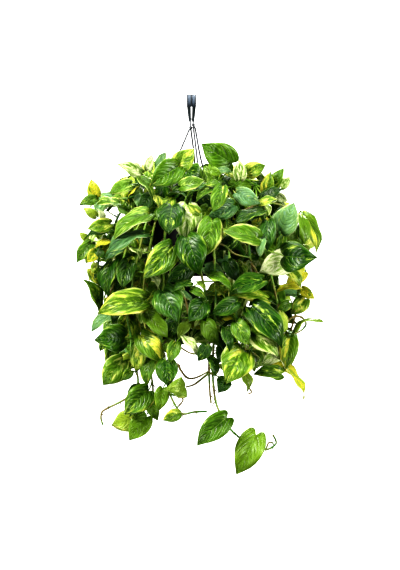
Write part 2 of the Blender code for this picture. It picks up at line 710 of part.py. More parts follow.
def baked(piece, weld=False):
    """A plain mesh object in place of a curve or of a mesh with modifiers."""
    graph = bpy.context.evaluated_depsgraph_get()
    mesh = bpy.data.meshes.new_from_object(piece.evaluated_get(graph))
    name, collection, matrix = piece.name, piece.users_collection[0], piece.matrix_world.copy()
    bpy.data.objects.remove(piece)
    if weld:
        shape = bmesh.new()
        shape.from_mesh(mesh)
        bmesh.ops.remove_doubles(shape, verts=shape.verts, dist=1e-6)
        bmesh.ops.recalc_face_normals(shape, faces=shape.faces)
        shape.to_mesh(mesh)
        shape.free()
    plain = bpy.data.objects.new(name, mesh)
    plain.matrix_world = matrix
    collection.objects.link(plain)
    return plain


def rod(name, path, radii, collection, sides=4, profile=None, material=None):
    """A closed tube along a path: a bevelled curve, made a mesh."""
    curve = bpy.data.curves.new(name, "CURVE")
    curve.dimensions = "3D"
    curve.use_fill_caps = True
    if profile:
        curve.bevel_mode = "OBJECT"
        curve.bevel_object = profile
    else:
        curve.bevel_depth = 1.0
        curve.bevel_resolution = sides // 2 - 2
    spline = curve.splines.new("POLY")
    spline.points.add(len(path) - 1)
    for point, place, radius in zip(spline.points, path, radii):
        point.co = (*place, 1)
        point.radius = radius
    return baked(placed(name, curve, collection, material), weld=True)


def turned(name, profile, sides, collection, material):
    """A solid of revolution about the pot's axis, from its outer profile, top to bottom."""
    mesh = bpy.data.meshes.new(name)
    points = [(r, 0, z) for r, z in profile]
    mesh.from_pydata(points, [(i, i + 1) for i in range(len(points) - 1)], [])
    piece = placed(name, mesh, collection, material)
    screw = piece.modifiers.new("Turn", "SCREW")
    screw.steps = screw.render_steps = sides
    screw.use_merge_vertices = True
    screw.merge_threshold = 0.00001
    return baked(piece)


def joined(piece, helpers, operation="UNION", solver="MANIFOLD"):
    """The piece with one Boolean on a collection applied, and the collection's objects removed."""
    if not helpers.objects:
        return piece
    modifier = piece.modifiers.new("Join", "BOOLEAN")
    modifier.operation = operation
    modifier.solver = solver
    modifier.operand_type = "COLLECTION"
    modifier.collection = helpers
    result = baked(piece)
    for helper in list(helpers.objects):
        bpy.data.objects.remove(helper)
    return result


def drill(name, place, radius, depth, sides, cutters):
    """A plain upright hole's cutter, from just above a place down to a depth below it."""
    bpy.ops.mesh.primitive_cylinder_add(vertices=sides, radius=radius, depth=depth)
    cutter = bpy.context.object
    cutter.name = name
    cutter.location = place
    cutter.rotation_euler = (0, 0, math.atan2(place.y, place.x))
    for collection in list(cutter.users_collection):
        collection.objects.unlink(cutter)
    cutters.objects.link(cutter)
    cutter.hide_render = True
    cutter.display_type = "WIRE"
    return cutter


def make_pot(parts, cutters, material):
    """The black plastic pot: a turned wall with a flange, four strand holes and four drain holes."""
    floor = RIM_Z - POT_HEIGHT
    inner_top = POT_TOP_RADIUS - POT_WALL
    profile = [
        (0.0, floor + POT_WALL),
        (POT_BASE_RADIUS - POT_WALL, floor + POT_WALL),
        (inner_top, RIM_Z),
        (FLANGE_RADIUS, RIM_Z),
        (FLANGE_RADIUS, RIM_Z - FLANGE_THICK),
        (POT_TOP_RADIUS, RIM_Z - FLANGE_THICK),
        (POT_BASE_RADIUS + 0.001, floor + 0.003),
        (POT_BASE_RADIUS - 0.002, floor),
        (0.0, floor),
    ]
    pot = turned("pot", profile, POT_SIDES, parts, material)
    for i, bearing in enumerate((184, 94, 274, 4)):
        place = polar(STRAND_CIRCLE, bearing, RIM_Z)
        drill(f"strand_hole_{i}", place, STRAND_HOLE_RADIUS, 0.012, 6, cutters)
    for i in range(4):
        drill(f"drain_{i}", polar(DRAIN_CIRCLE, 45 + 90 * i, floor), DRAIN_RADIUS, 0.012, 8, cutters)
    return joined(pot, cutters, "DIFFERENCE", "EXACT")


def make_soil(parts, cutters, material, feet):
    """The soil: it fills the pot to a little below the rim, with a plain hole for each stem."""
    floor = RIM_Z - POT_HEIGHT + POT_WALL + GAP
    slope = (POT_TOP_RADIUS - POT_BASE_RADIUS) / POT_HEIGHT
    low = POT_BASE_RADIUS - POT_WALL - 0.0008
    high = low + slope * (SOIL_Z - floor)
    profile = [(0.0, SOIL_Z), (high, SOIL_Z), (low, floor), (0.0, floor)]
    soil = turned("soil", profile, POT_SIDES, parts, material)
    for i, foot in enumerate(feet):
        place = Vector((foot.x, foot.y, SOIL_Z))
        drill(f"stem_hole_{i}", place, STEM_HOLE_RADIUS, 2 * STEM_DEPTH, 6, cutters)
    return joined(soil, cutters, "DIFFERENCE", "EXACT")


def box(name, low, high, collection):
    """A box between two corners."""
    shape = bmesh.new()
    bmesh.ops.create_cube(shape, size=1)
    mesh = bpy.data.meshes.new(name)
    low, high = Vector(low), Vector(high)
    for vertex in shape.verts:
        vertex.co = Vector((low[i] + high[i]) / 2 + vertex.co[i] * (high[i] - low[i]) for i in range(3))
    shape.to_mesh(mesh)
    shape.free()
    return placed(name, mesh, collection)


def leg(name, x_top, x_foot, collection):
    """One tapered leg of the hanger, from the strap down to its neck."""
    (top_in, top_out), (foot_in, foot_out) = x_top, x_foot
    piece = box(name, (-1, -1, -1), (1, 1, 1), collection)
    for vertex in piece.data.vertices:
        upper = vertex.co.z > 0
        inner, outer = (top_in, top_out) if upper else (foot_in, foot_out)
        y = LEG_TOP_Y if upper else 0.0
        thick = STRAP_THICK / 2 if upper else 0.0012
        vertex.co = (outer if vertex.co.x > 0 else inner, y + math.copysign(thick, vertex.co.y),
                     LEG_TOP_Z if upper else LEG_FOOT_Z)
    return piece


def make_hanger(parts, helpers, material):
    """The moulded hanger: a ribbed strap bent into a hook, two legs, a crossbar, necks and beads."""
    outline = [(-HOOK_RADIUS, LEG_TOP_Z - 0.0025), (-HOOK_RADIUS - STRAP_THICK, LEG_TOP_Z - 0.0025)]
    for radius, order in ((HOOK_RADIUS + STRAP_THICK, range(9)), (HOOK_RADIUS, reversed(range(9)))):
        arc = [(-radius * math.cos(math.pi * k / 8), radius * math.sin(math.pi * k / 8) - HOOK_RADIUS)
               for k in order]
        tip = [(HOOK_RADIUS + STRAP_THICK + 0.001, -0.0185), (HOOK_RADIUS + 0.0014, -0.0195)]
        outline += arc + (tip if radius > HOOK_RADIUS else [])
    curve = bpy.data.curves.new("hanger_hook", "CURVE")
    curve.dimensions = "2D"
    curve.fill_mode = "BOTH"
    curve.extrude = STRAP_WIDTH / 2
    spline = curve.splines.new("POLY")
    spline.points.add(len(outline) - 1)
    spline.use_cyclic_u = True
    for point, (y, z) in zip(spline.points, outline):
        point.co = (y, z, 0, 1)
    hook = placed("hanger_hook", curve, parts, material)
    hook.rotation_euler = (math.pi / 2, 0, math.pi / 2)
    bpy.context.view_layer.update()
    hook = baked(hook, weld=True)
    front = -HOOK_RADIUS - STRAP_THICK
    for i, x in enumerate((-0.0096, 0.0, 0.0096)):
        low = (x - 0.0011, front - 0.0011, LEG_TOP_Z - 0.002)
        box(f"rib_{i}", low, (x + 0.0011, front + 0.001, -0.0085), helpers)
    leg("leg_right", (0.0018, 0.0108), (0.0009, 0.0066), helpers)
    leg("leg_left", (-0.0108, -0.0018), (-0.0066, -0.0009), helpers)
    box("crossbar", (-0.0060, -0.0022, -0.0565), (0.0060, 0.0000, -0.0540), helpers)
    for side, bead in (("right", Vector((0.0043, 0, -0.0690))), ("left", Vector((-0.0017, 0, -0.0760)))):
        neck_top = Vector((0.0040 if side == "right" else -0.0036, 0, LEG_FOOT_Z + 0.004))
        rod(f"neck_{side}", [neck_top, bead], [0.0015, 0.0013], helpers)
        bpy.ops.mesh.primitive_uv_sphere_add(segments=8, ring_count=6, radius=BEAD_RADIUS, location=bead)
        sphere = bpy.context.object
        for collection in list(sphere.users_collection):
            collection.objects.unlink(sphere)
        helpers.objects.link(sphere)
    return joined(hook, helpers)


def make_strand(name, path, parts, helpers, material):
    """One strand of the hanger, with the barb that holds it under the rim."""
    strand = rod(name, path, [STRAND_RADIUS] * len(path), parts, sides=6, material=material)
    low = path[-1]
    bpy.ops.mesh.primitive_cone_add(vertices=6, radius1=0.0016, radius2=0.0034, depth=0.008)
    barb = bpy.context.object
    barb.location = (low.x, low.y, RIM_Z - FLANGE_THICK - 2 * GAP - 0.004)
    for collection in list(barb.users_collection):
        collection.objects.unlink(barb)
    helpers.objects.link(barb)
    return joined(strand, helpers)


def blade(name, leaf, collection):
    """A leaf blade: its heart-shaped middle surface, given its thickness."""
    vertices, faces = blade_surface(leaf)
    mesh = bpy.data.meshes.new(name)
    mesh.from_pydata(vertices, [], faces)
    piece = placed(name, mesh, collection)
    shell = piece.modifiers.new("Thickness", "SOLIDIFY")
    shell.thickness = BLADE_THICK
    shell.offset = 0
    return baked(piece)


def make_vine(name, path, leaves, parts, helpers, profile, material):
    """One leafy stem: the stem, a petiole to each leaf and the leaf's blade, joined."""
    stem = rod(name, path, stem_radii(path), parts, material=material)
    for i, (leaf, petiole) in enumerate(leaves):
        radii = [PETIOLE_RADIUS, PETIOLE_RADIUS, END_RADIUS]
        rod(f"{name}_petiole_{i}", petiole, radii, helpers, profile=profile)
        blade(f"{name}_blade_{i}", leaf, helpers)
    return joined(stem, helpers)


def main():
    for piece in list(bpy.data.objects):
        bpy.data.objects.remove(piece)
    scene = bpy.context.scene.collection
    parts = bpy.data.collections.new("potted_pothos")
    cutters = bpy.data.collections.new("cutters")
    helpers = bpy.data.collections.new("helpers")
    for collection in (parts, cutters, helpers):
        scene.children.link(collection)
    cutters.hide_render = True
    helpers.hide_render = True

    black = principled("black_plastic", (0.012, 0.013, 0.014), 0.42)
    earth = principled("potting_soil", (0.045, 0.028, 0.018), 0.95)
    green = principled("pothos_leaf", (0.10, 0.26, 0.03), 0.38)

    stems, leaves = planned_foliage()
    make_pot(parts, cutters, black)
    make_soil(parts, cutters, earth, [path[0] for path in stems.values()])
    make_hanger(parts, helpers, black)
    for name, path in strand_paths().items():
        make_strand(name, path, parts, helpers, black)

    triangle = bpy.data.curves.new("petiole_profile", "CURVE")
    spline = triangle.splines.new("POLY")
    spline.points.add(2)
    spline.use_cyclic_u = True
    for k, point in enumerate(spline.points):
        angle = 2 * math.pi * k / 3
        point.co = (math.cos(angle), math.sin(angle), 0, 1)
    profile = placed("petiole_profile", triangle, helpers)
    guides = bpy.data.collections.new("guides")
    guides.hide_render = True
    scene.children.link(guides)
    helpers.objects.unlink(profile)
    guides.objects.link(profile)
    profile.hide_render = True
    for name, path in stems.items():
        make_vine(f"vine_{name}", path, leaves[name], parts, helpers, profile, green)


main()
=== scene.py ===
"""Looks of a hanging golden pothos: leaf blades, stalks, pot, hanger and soil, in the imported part's frame.

The origin is the inside of the hanger's hook and the front faces -Y. Leaves that face the front are set
out on a front elevation: u runs right and v runs down, one step is GRID metres at the hook's depth, and
the elevation is drawn from a point 3 m in front. The others follow a rule. Lengths are in metres and
angles in degrees, unless a name says otherwise.
"""

import json
import math
import random
from collections import namedtuple

import bmesh
import bpy
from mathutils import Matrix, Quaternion, Vector
from mathutils.bvhtree import BVHTree

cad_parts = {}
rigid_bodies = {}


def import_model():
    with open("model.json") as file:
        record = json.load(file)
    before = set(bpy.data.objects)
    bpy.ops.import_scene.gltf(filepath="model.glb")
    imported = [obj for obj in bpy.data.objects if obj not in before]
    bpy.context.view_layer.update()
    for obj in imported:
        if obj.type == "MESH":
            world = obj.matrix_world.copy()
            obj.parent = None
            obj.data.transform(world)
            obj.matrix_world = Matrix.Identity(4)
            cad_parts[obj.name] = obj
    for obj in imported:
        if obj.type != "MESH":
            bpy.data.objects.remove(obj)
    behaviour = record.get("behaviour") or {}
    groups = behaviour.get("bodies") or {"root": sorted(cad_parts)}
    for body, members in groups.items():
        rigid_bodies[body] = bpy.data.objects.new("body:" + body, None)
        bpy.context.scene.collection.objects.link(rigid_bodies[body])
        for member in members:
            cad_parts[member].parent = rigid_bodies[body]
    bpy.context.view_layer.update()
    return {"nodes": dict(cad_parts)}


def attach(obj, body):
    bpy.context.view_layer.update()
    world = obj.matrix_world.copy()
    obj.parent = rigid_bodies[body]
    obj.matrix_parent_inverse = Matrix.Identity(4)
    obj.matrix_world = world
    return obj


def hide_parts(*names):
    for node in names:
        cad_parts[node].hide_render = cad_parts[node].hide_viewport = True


# Front elevation
GRID = 0.0024
EYE = Vector((0.0204, -3.0, -0.4534))
MIDDLE_U, MIDDLE_V = 200.0, 285.0
ELEVATION_ROWS = 570

# Pot
RIM_Z = -0.2818
POT_HEIGHT = 0.150
POT_TOP_RADIUS = 0.100
POT_BASE_RADIUS = 0.080
POT_WALL = 0.0022
POT_FLOOR_Z = RIM_Z - POT_HEIGHT
POT_SLOPE = (POT_TOP_RADIUS - POT_BASE_RADIUS) / POT_HEIGHT
FLANGE_RADIUS = 0.109
FLANGE_THICK = 0.0026
STRAND_CIRCLE = 0.1045
STRAND_HOLE_RADIUS = 0.0024
DRAIN_CIRCLE = 0.052
DRAIN_RADIUS = 0.005
BORE_SIDES = 24
BORE_DEPTH = 0.012
POT_STEPS = 96
SMOOTH_ANGLE = 40

# Soil
SOIL_Z = RIM_Z - 0.018
STEM_DEPTH = 0.020
GAP = 0.0003
SOIL_SEED = 4
SOIL_STEPS = 72
SOIL_RINGS = 22
SOIL_SWELL = 0.0012
SOIL_ROUGHNESS = (-0.0014, 0.0012)
BARK_GRAINS = {"density": 9000.0, "size": 0.0040, "flatness": 0.35, "seed": 5}
PERLITE_GRAINS = {"density": 3000.0, "size": 0.0018, "flatness": 0.9, "seed": 8}

# Hanger: bearing of each strand's hole and the radius of the rods and beads
STRAP_THICK = 0.0034
HOOK_RADIUS = 0.009
LEG_TOP_Z = -0.0245
STRAND_BEARINGS = {"strand_left": 184, "strand_back": 94, "strand_front": 274, "strand_right": 4}
STRAND_RADIUS = 0.0018
STRAND_STEP = 0.030
BEAD_RADIUS = 0.0041
HOOK_BEVEL = 0.00035
BARB = ((0.0, 0.0034), (-0.0015, 0.0033), (-0.008, 0.0016))  # height below the flange, radius

# Stems and petioles
STEM_RADIUS = 0.0026
TIP_RADIUS = 0.0017
CREST_RADIUS = 0.102
CROWN_STEP = 0.030
TRAILING_STEP = 0.044
BACK_STEP = 0.042
PETIOLE_RADIUS = 0.0014
PETIOLE_END_RADIUS = 0.0004
PETIOLE_ROOM = 0.0017
PETIOLE_CLEARANCE = 0.0005
PETIOLE_IN_BLADE = 0.008
PETIOLE_BENDS = ((0.24, 0.22), (0.34, 0.12), (0.12, 0.40), (0.45, 0.05), (0.30, -0.10))
NEAREST_ROOT = 0.012
MOST_ROOTS = 60  # stem points tried for a petiole
SMALL_ROOTS = 10  # the same, for a small leaf

# Blades as planned
BLADE_THICK = 0.0010
BLADE_CLEARANCE = 0.0009
LEAST_RATIO = 0.62
MOST_RATIO = 0.88
LEAST_STRETCH = 1.03
ARCH = (0.02, 0.12)
FOLD = (0.10, 0.34)
FULL_OUTLINE = ((-0.12, 0.20), (0.08, 0.46), (0.42, 0.51), (0.75, 0.31))
FULL_RIB = (0.0, 0.26, 0.60)
SMALL_OUTLINE = ((-0.10, 0.26), (0.22, 0.52), (0.66, 0.37))
SMALL_RIB = (0.0, 0.42)
SMALL_BREADTH = 0.052

# Room that the planning keeps free about the pot, the strands and the hanger
POT_SIDES = 28
POT_ROOM = 0.001
STRAND_ROOM = 0.0004
HANGER_ROOM = 0.018
HANGER_SPAN = (0.004, -0.080)

# Foliage
DOME_DEPTH = 0.80
LAYER_STEP = 0.17
DEPTH_SHIFT = 0.008
DEPTH_SHIFTS = 12
STEM_INSET = 0.60
POT_BERTH = 0.119
BERTH_BEYOND = 0.012
FARTHEST_OUT = 0.285

# How far off the stem that a leaf grows from may be
SEEN_REACH = 0.19
WIDER_REACH = 0.24
CROWN_REACH = 0.13
BACKING_REACH = 0.15
SMALL_PETIOLE_REACH = 0.10

# Leaves placed by rule
FILL_SEED = 11
FILL_SPACING = 0.032
FILL_TRIES = 30
FILL_LENGTH = (0.060, 0.098)
FILL_RATIO = (0.70, 0.82)
FILL_PETIOLE = (0.040, 0.080)
FILL_TURN = (0.1, 1.5)
FILL_RISE = (0.15, 0.9)
FILL_DROOP = (-1.5, 0.15)
FILL_SWAY = (-0.35, 0.35)
FILL_ARCH = (0.02, 0.09)
FILL_FOLD = (0.05, 0.25)
CROWN_SEED = 5
CROWN_FILL = 13
CROWN_TRIES = 400
CROWN_RADIUS = (0.015, 0.105)
CROWN_RISE = (0.030, 0.105)
CROWN_TURN = (-70, 70)
CROWN_ARCH = (0.02, 0.08)

# Leaves that only the looks have, by rule
SMALL_SEED = 17
SMALL_TRIES = 14
SMALL_PARTS = (0.15, 0.5, 0.85)  # where between two points of a stem they are tried
SMALL_TURN = (-2.4, 2.4)
SMALL_REACH = (0.014, 0.055)
SMALL_LENGTH = (0.036, 0.074)
SMALL_ARCH = (0.02, 0.12)
SMALL_FOLD = (0.08, 0.45)
BACKING_SEED = 29
BACKING_TRIES = 9
BACKING_LENGTH = (0.046, 0.084)
BACKING_DEPTH = (-0.35, 0.80)
BACKING_COLUMNS = (80, 322)
CELL = 3  # side of a cell of the elevation that is either covered or not

# Blades of the looks
LEAF_THICK = 0.0007
BLADE_GRID = 8
HALF_WIDTH = ((0.0, 0.78), (0.08, 0.89), (0.20, 0.98), (0.35, 1.0), (0.50, 0.94), (0.65, 0.78), (0.75, 0.62),
              (0.85, 0.39), (0.93, 0.17), (1.0, 0.0))
HALF_SHARE = 0.51
LOBE = 0.135
WAVE = (0.040, 0.110)
DROOP = (0.2, 1.6)
CURL = (0.0, 0.12)
TWIST = 0.45
TONE_SPREAD = (-0.08, 0.08)

# Stalks of the looks: they stand a skin proud of the planned ones, and are browner with age
FINE_STEP = 0.006
PETIOLE_STEP = 0.009
STALK_SKIN = 0.0002
STALK_FLARE = 0.0003
STEM_AGE = (0.20, 0.55)  # at its foot, and how much more at its tip
WOODY_AGE = 0.9
PETIOLE_AGE = (-0.5, 0.6)
RUNNER_TAPER = 0.40
RIB_SHARE = 0.07  # of the rib, with the petiole under it
FOOT_BELOW = 0.0008
RIB_BELOW = 0.0006
STALK_SIDES = 8
STRAND_SIDES = 12
NODE_SPACING = 0.031
NODE_SWELLING = 0.35

# Aerial roots: where on a stem's path they start, how many points apart, the turn from each to the next
# in radians, and their course out from the stem and down
ROOTS_FROM = 9
ROOTS_EVERY = 5
ROOT_TURN = 2.4
AERIAL_ROOT = ((0.0, 0.0), (0.0040, -0.0004), (0.0074, -0.0030), (0.0085, -0.0085))
ROOT_RADII = (0.0013, 0.0012, 0.0010, 0.0007)

LOOK_SEED = 21
LATERAL_VEINS = 6.5

# Leaf and stalk colours
DEEP_GREEN = (0.0032, 0.0235, 0.0007, 1)
DARK_GREEN = (0.015, 0.059, 0.0012, 1)
MID_GREEN = (0.068, 0.166, 0.003, 1)
FRESH_GREEN = (0.215, 0.35, 0.03, 1)
LIME = (0.38, 0.46, 0.06, 1)
# Painted reflection of the sky on the glossy leaves
PAINTED_SKY_SHEEN = (0.15, 0.265, 0.2, 1)
YELLOW = (0.50, 0.455, 0.042, 1)
YELLOW_GREEN = (0.25, 0.34, 0.035, 1)
CREAM = (0.62, 0.65, 0.41, 1)
CREAM_GREEN = (0.3, 0.4, 0.13, 1)
PALE_EDGE = (0.54, 0.6, 0.38, 1)
MIDRIB = (0.20, 0.36, 0.04, 1)
BACK_DARK = (0.040, 0.12, 0.012, 1)
BACK_LIGHT = (0.16, 0.32, 0.020, 1)
BACK_LIME = (0.30, 0.42, 0.04, 1)
BACK_YELLOW = (0.48, 0.50, 0.06, 1)
BACK_CREAM = (0.46, 0.54, 0.20, 1)
BACK_MIDRIB = (0.34, 0.46, 0.12, 1)
STALK_DARK = (0.055, 0.17, 0.018, 1)
STALK_LIGHT = (0.26, 0.40, 0.06, 1)
STALK_BROWN = (0.16, 0.12, 0.035, 1)
STALK_FLECK = (0.42, 0.48, 0.16, 1)

# Plastic and soil colours, dark and light
# The hook's strap: ribs in the plastic's own black, and between them a painted reflection of the sky, dark
# and light
STRAP_RIB = (0.016, 0.021, 0.028, 1)
STRAP_PAINTED_SHEEN = ((0.060, 0.078, 0.105, 1), (0.110, 0.135, 0.172, 1))
# Black plastics: the lighter of each pair is a painted sheen, laid in streaks
POT_BLACK = ((0.002, 0.002, 0.002, 1), (0.005, 0.005, 0.005, 1))
HANGER_BLACK = ((0.010, 0.012, 0.015, 1), (0.035, 0.045, 0.055, 1))
EARTH = ((0.010, 0.006, 0.004, 1), (0.050, 0.030, 0.018, 1))
BARK = ((0.030, 0.014, 0.007, 1), (0.120, 0.062, 0.030, 1))
PERLITE = ((0.42, 0.40, 0.36, 1), (0.72, 0.70, 0.66, 1))

# Studio
FLOOR_Z = -2.2
STUDIO_RADIUS = 7.0
STUDIO_BEND = 2.5
STUDIO_GLOW = 1.0
PAPER = ((0.92, 0.92, 0.92, 1), (0.94, 0.94, 0.94, 1))
WORLD_LIGHT = 0.15
WORLD_COLOUR = (0.97, 1.0, 0.93, 1)
SENSOR_MM = 36.0
LIGHTS = (  # name, place, what it points at, size, power, colour
    ("key", (-1.6, -1.9, 1.5), (0, 0, -0.40), 0.8, 106.0, (1.0, 0.98, 0.93)),
    ("sky", (0.3, -0.5, 2.4), (0, 0, -0.30), 2.4, 60.0, (0.95, 0.99, 0.97)),
    ("fill", (2.4, -1.5, -0.2), (0, 0, -0.50), 1.2, 71.0, (1.0, 1.0, 0.96)),
    ("low_fill", (-1.8, -1.9, -1.3), (0, 0, -0.60), 1.2, 35.0, (1, 1, 1)),
    ("back", (0.8, 2.4, 1.5), (0, 0, -0.35), 1.6, 90.0, (1, 1, 1)),
    ("low_back", (-0.9, 2.2, -1.2), (0, 0, -0.60), 1.4, 45.0, (1, 1, 1)),
)

# Left and right edge of the foliage on the front elevation, row by row
ENVELOPE = (
    (142, 205, 235),
    (150, 172, 238),
    (160, 150, 262),
    (170, 124, 284),
    (180, 112, 290),
    (200, 88, 290),
    (220, 88, 318),
    (240, 80, 321),
    (260, 80, 312),
    (280, 88, 305),
    (300, 92, 306),
    (320, 100, 303),
    (340, 100, 300),
    (360, 104, 298),
    (380, 104, 294),
    (400, 118, 284),
    (440, 125, 275),
    (475, 140, 270),
)

# Places on the front elevation where the view is open between the leaves: centre and radius. Below the
# lowest fill the columns of OPEN_BELOW stay open too.
OPEN_VIEWS = ((113, 217, 9), (201, 281, 7), (251, 309, 6), (289, 281, 6), (94, 290, 5))
OPEN_POT_WALL = (168, 237, 13)
OPEN_BELOW = (168, 212)

# Where leaves placed by rule may stand: rows of the elevation, the share of the foliage's depth that they
# stay behind, and how far off the open views and the outline
HIGHEST_FILL_V = 158
LOWEST_FILL_V = 345
DEEPER = 0.58
FILL_MARGIN = 14
LOWEST_SMALL_V = 372
SMALL_DEEPER = 0.78
SMALL_MARGIN = 1
EDGE_MARGIN = 2

# Each leaf that faces the front: its base and its tip on the elevation, its breadth there, how many
# layers of foliage lie in front of it, and its look
SeenLeaf = namedtuple("SeenLeaf", "base tip breadth layer look")


def seen_leaves(*rows):
    return tuple(SeenLeaf(*row) for row in rows)


CROWN_LEAVES = seen_leaves(
    ((232, 163), (202.5, 145.5), 27, 0, "plain"),
    ((176, 167), (194.5, 150), 20, 0, "streaked"),
    ((178, 167), (150, 184), 25, 0, "green"),
    ((181, 186), (204.5, 181), 13, 0, "margined"),
    ((141, 173), (119.5, 162.5), 13, 0, "pale"),
    ((131, 184), (109, 192), 13, 0, "margined"),
    ((141, 178), (153.5, 197), 10, 0, "margined"),
    ((246, 173), (264.5, 164.5), 16, 0, "streaked"),
    ((240, 179), (240, 160), 13, 0, "pale"),
    ((266, 193), (270, 172), 13, 0, "half_right"),
    ((272, 186), (283, 168.7), 12, 0, "green"),
    ((281, 187), (290, 177), 10, 1, "pale"),
    ((277, 196), (287.5, 200.5), 9, 0, "cream"),
    ((262, 200), (281, 187), 12, 1, "deep"),
    ((260, 204), (277, 198), 8, 0, "streaked"),
    ((214, 186), (194.5, 198.5), 9, 0, "green"),
)
LEFT_LEAVES = seen_leaves(
    ((95.5, 197.5), (91, 180), 13, 0, "gold"),
    ((96, 198.5), (79.5, 203.8), 10, 1, "green"),
    ((118, 203), (96, 201.5), 8, 0, "margined"),
    ((96, 216), (84, 208), 9, 0, "lime"),
    ((110, 224), (88, 228), 14, 0, "streaked"),
    ((113, 229), (84, 236), 10, 1, "deep"),
    ((147, 214), (111, 237), 16, 0, "margined"),
    ((142, 233), (105, 254), 12, 0, "blue"),
    ((91, 243), (77, 262), 13, 0, "green"),
    ((96, 251), (88, 263), 11, 0, "gold"),
    ((121, 248), (104, 257), 10, 1, "blue"),
    ((100, 308), (87, 279), 11, 1, "green"),
    ((144, 301), (98, 311), 25, 0, "streaked"),
    ((113, 313), (91, 330), 12, 1, "silver"),
    ((124, 338), (96, 338.5), 27, 0, "dark"),
    ((123, 361), (103, 384), 25, 0, "margined"),
    ((131, 371), (122, 380), 9, 0, "green"),
    # Inner leaves two layers back: their dark look is partly their own deep green, partly painted shade
    ((112, 262), (104, 296), 16, 2, "dark"),
    ((128, 262), (122, 288), 18, 2, "dark"),
)
FRONT_LEAVES = seen_leaves(
    ((172, 206), (167.5, 232), 27, 0, "dark"),
    ((188, 206), (184, 239), 28, 1, "pale"),
    ((187, 238), (200, 272), 28, 0, "dark"),
    ((172, 247), (146, 278), 25, 0, "green"),
    ((190, 268), (168, 284), 18, 1, "deep"),
    ((190, 282), (171, 288), 7, 0, "dark"),
    ((212, 221), (206, 256), 24, 0, "margined"),
    ((233, 205), (209.5, 217.5), 18, 0, "blue"),
    ((222, 187), (214, 212), 15, 1, "green"),
    ((237, 193), (259, 203), 17, 0, "silver"),
    ((262, 210), (233, 220), 10, 0, "dark"),
    ((258, 238), (223, 231), 18, 0, "margined"),
    ((236, 238), (219, 250), 14, 1, "dark"),
    ((211, 275), (232, 287.5), 9, 0, "green"),
    ((262, 280), (229, 291), 18, 0, "dark"),
    ((266, 298), (229, 293), 14, 1, "streaked"),
    ((236, 302), (212, 315), 16, 0, "deep"),
    ((203, 303), (190, 322), 20, 0, "deep"),
    ((163, 291), (178, 319.5), 29, 0, "sheen"),
    ((188, 323), (177, 337), 10, 1, "olive"),
    ((206, 322), (216, 345), 16, 1, "bright"),
    ((272, 296), (248, 303), 12, 2, "green"),
)
RIGHT_LEAVES = seen_leaves(
    ((281, 230), (294, 203.5), 24, 0, "silver"),
    ((279, 228), (280, 208), 16, 1, "blue"),
    ((303, 215), (321, 250), 15, 0, "half_left"),
    ((303, 218), (304.5, 243.5), 11, 1, "bright"),
    ((268, 222), (268, 250), 16, 0, "sheen"),
    ((262, 240), (260, 257), 9, 0, "silver"),
    ((292, 258), (259.5, 270.5), 25, 0, "cream"),
    ((284, 256), (314, 259), 29, 1, "dark"),
    ((283, 236), (280, 252), 9, 1, "green"),
    ((304, 272), (286, 285), 14, 0, "yellow"),
    ((302, 289), (314, 299), 10, 0, "gold"),
    ((305, 299), (293, 314), 16, 0, "streaked"),
    ((300, 288), (277, 290), 6, 0, "yellow"),
    ((292, 334), (318, 315.5), 4, 0, "olive"),
    ((282, 313), (284, 334), 8, 0, "lime"),
    ((264, 307), (280, 327), 10, 0, "streaked"),
    ((253, 308), (285, 344), 26, 1, "dark"),
    ((249, 330), (280, 353.5), 20, 0, "striped"),
    ((290, 337), (286, 368), 19, 0, "half_left"),
    ((281, 373.5), (255, 371.5), 14, 0, "green"),
    ((288, 369), (307.5, 395.5), 8, 0, "gold"),
)
LOWER_LEAVES = seen_leaves(
    ((141, 335), (163, 361), 22, 0, "half_right"),
    ((148, 314), (168, 336), 16, 0, "mellow"),
    ((176, 343), (169, 362), 13, 0, "green"),
    ((166, 361), (168, 385), 21, 0, "dark"),
    ((185, 387), (170, 388.5), 20, 0, "olive"),
    ((163, 389), (159, 410), 14, 0, "bright"),
    ((148, 391), (124, 413), 24, 0, "green"),
    ((148, 404), (129, 416), 10, 1, "dark"),
    ((150, 402), (157, 420), 12, 1, "bright"),
    ((135, 418), (112, 426), 21, 0, "lime"),
    ((146, 417), (129, 440), 20, 1, "bright"),
    ((179, 413), (163, 420), 12, 0, "half_left"),
    ((184, 337), (199, 352), 8, 0, "cream"),
    ((207, 346), (199, 361), 13, 0, "deep"),
    ((211, 358), (216, 377), 9, 0, "dark"),
    ((226, 329), (231, 350), 12, 0, "dark"),
    ((237, 323), (248, 345), 17, 0, "green"),
    ((243, 351), (226, 381), 32, 0, "streaked"),
    ((226, 379), (219, 391.5), 15, 1, "deep"),
    ((243, 371), (249, 391.5), 9, 1, "olive"),
    ((226.5, 418), (196.5, 443), 23, 0, "speckled"),
    ((256, 435), (237.5, 474), 27, 0, "mellow"),
)
SEEN_LEAVES = CROWN_LEAVES + LEFT_LEAVES + FRONT_LEAVES + RIGHT_LEAVES + LOWER_LEAVES

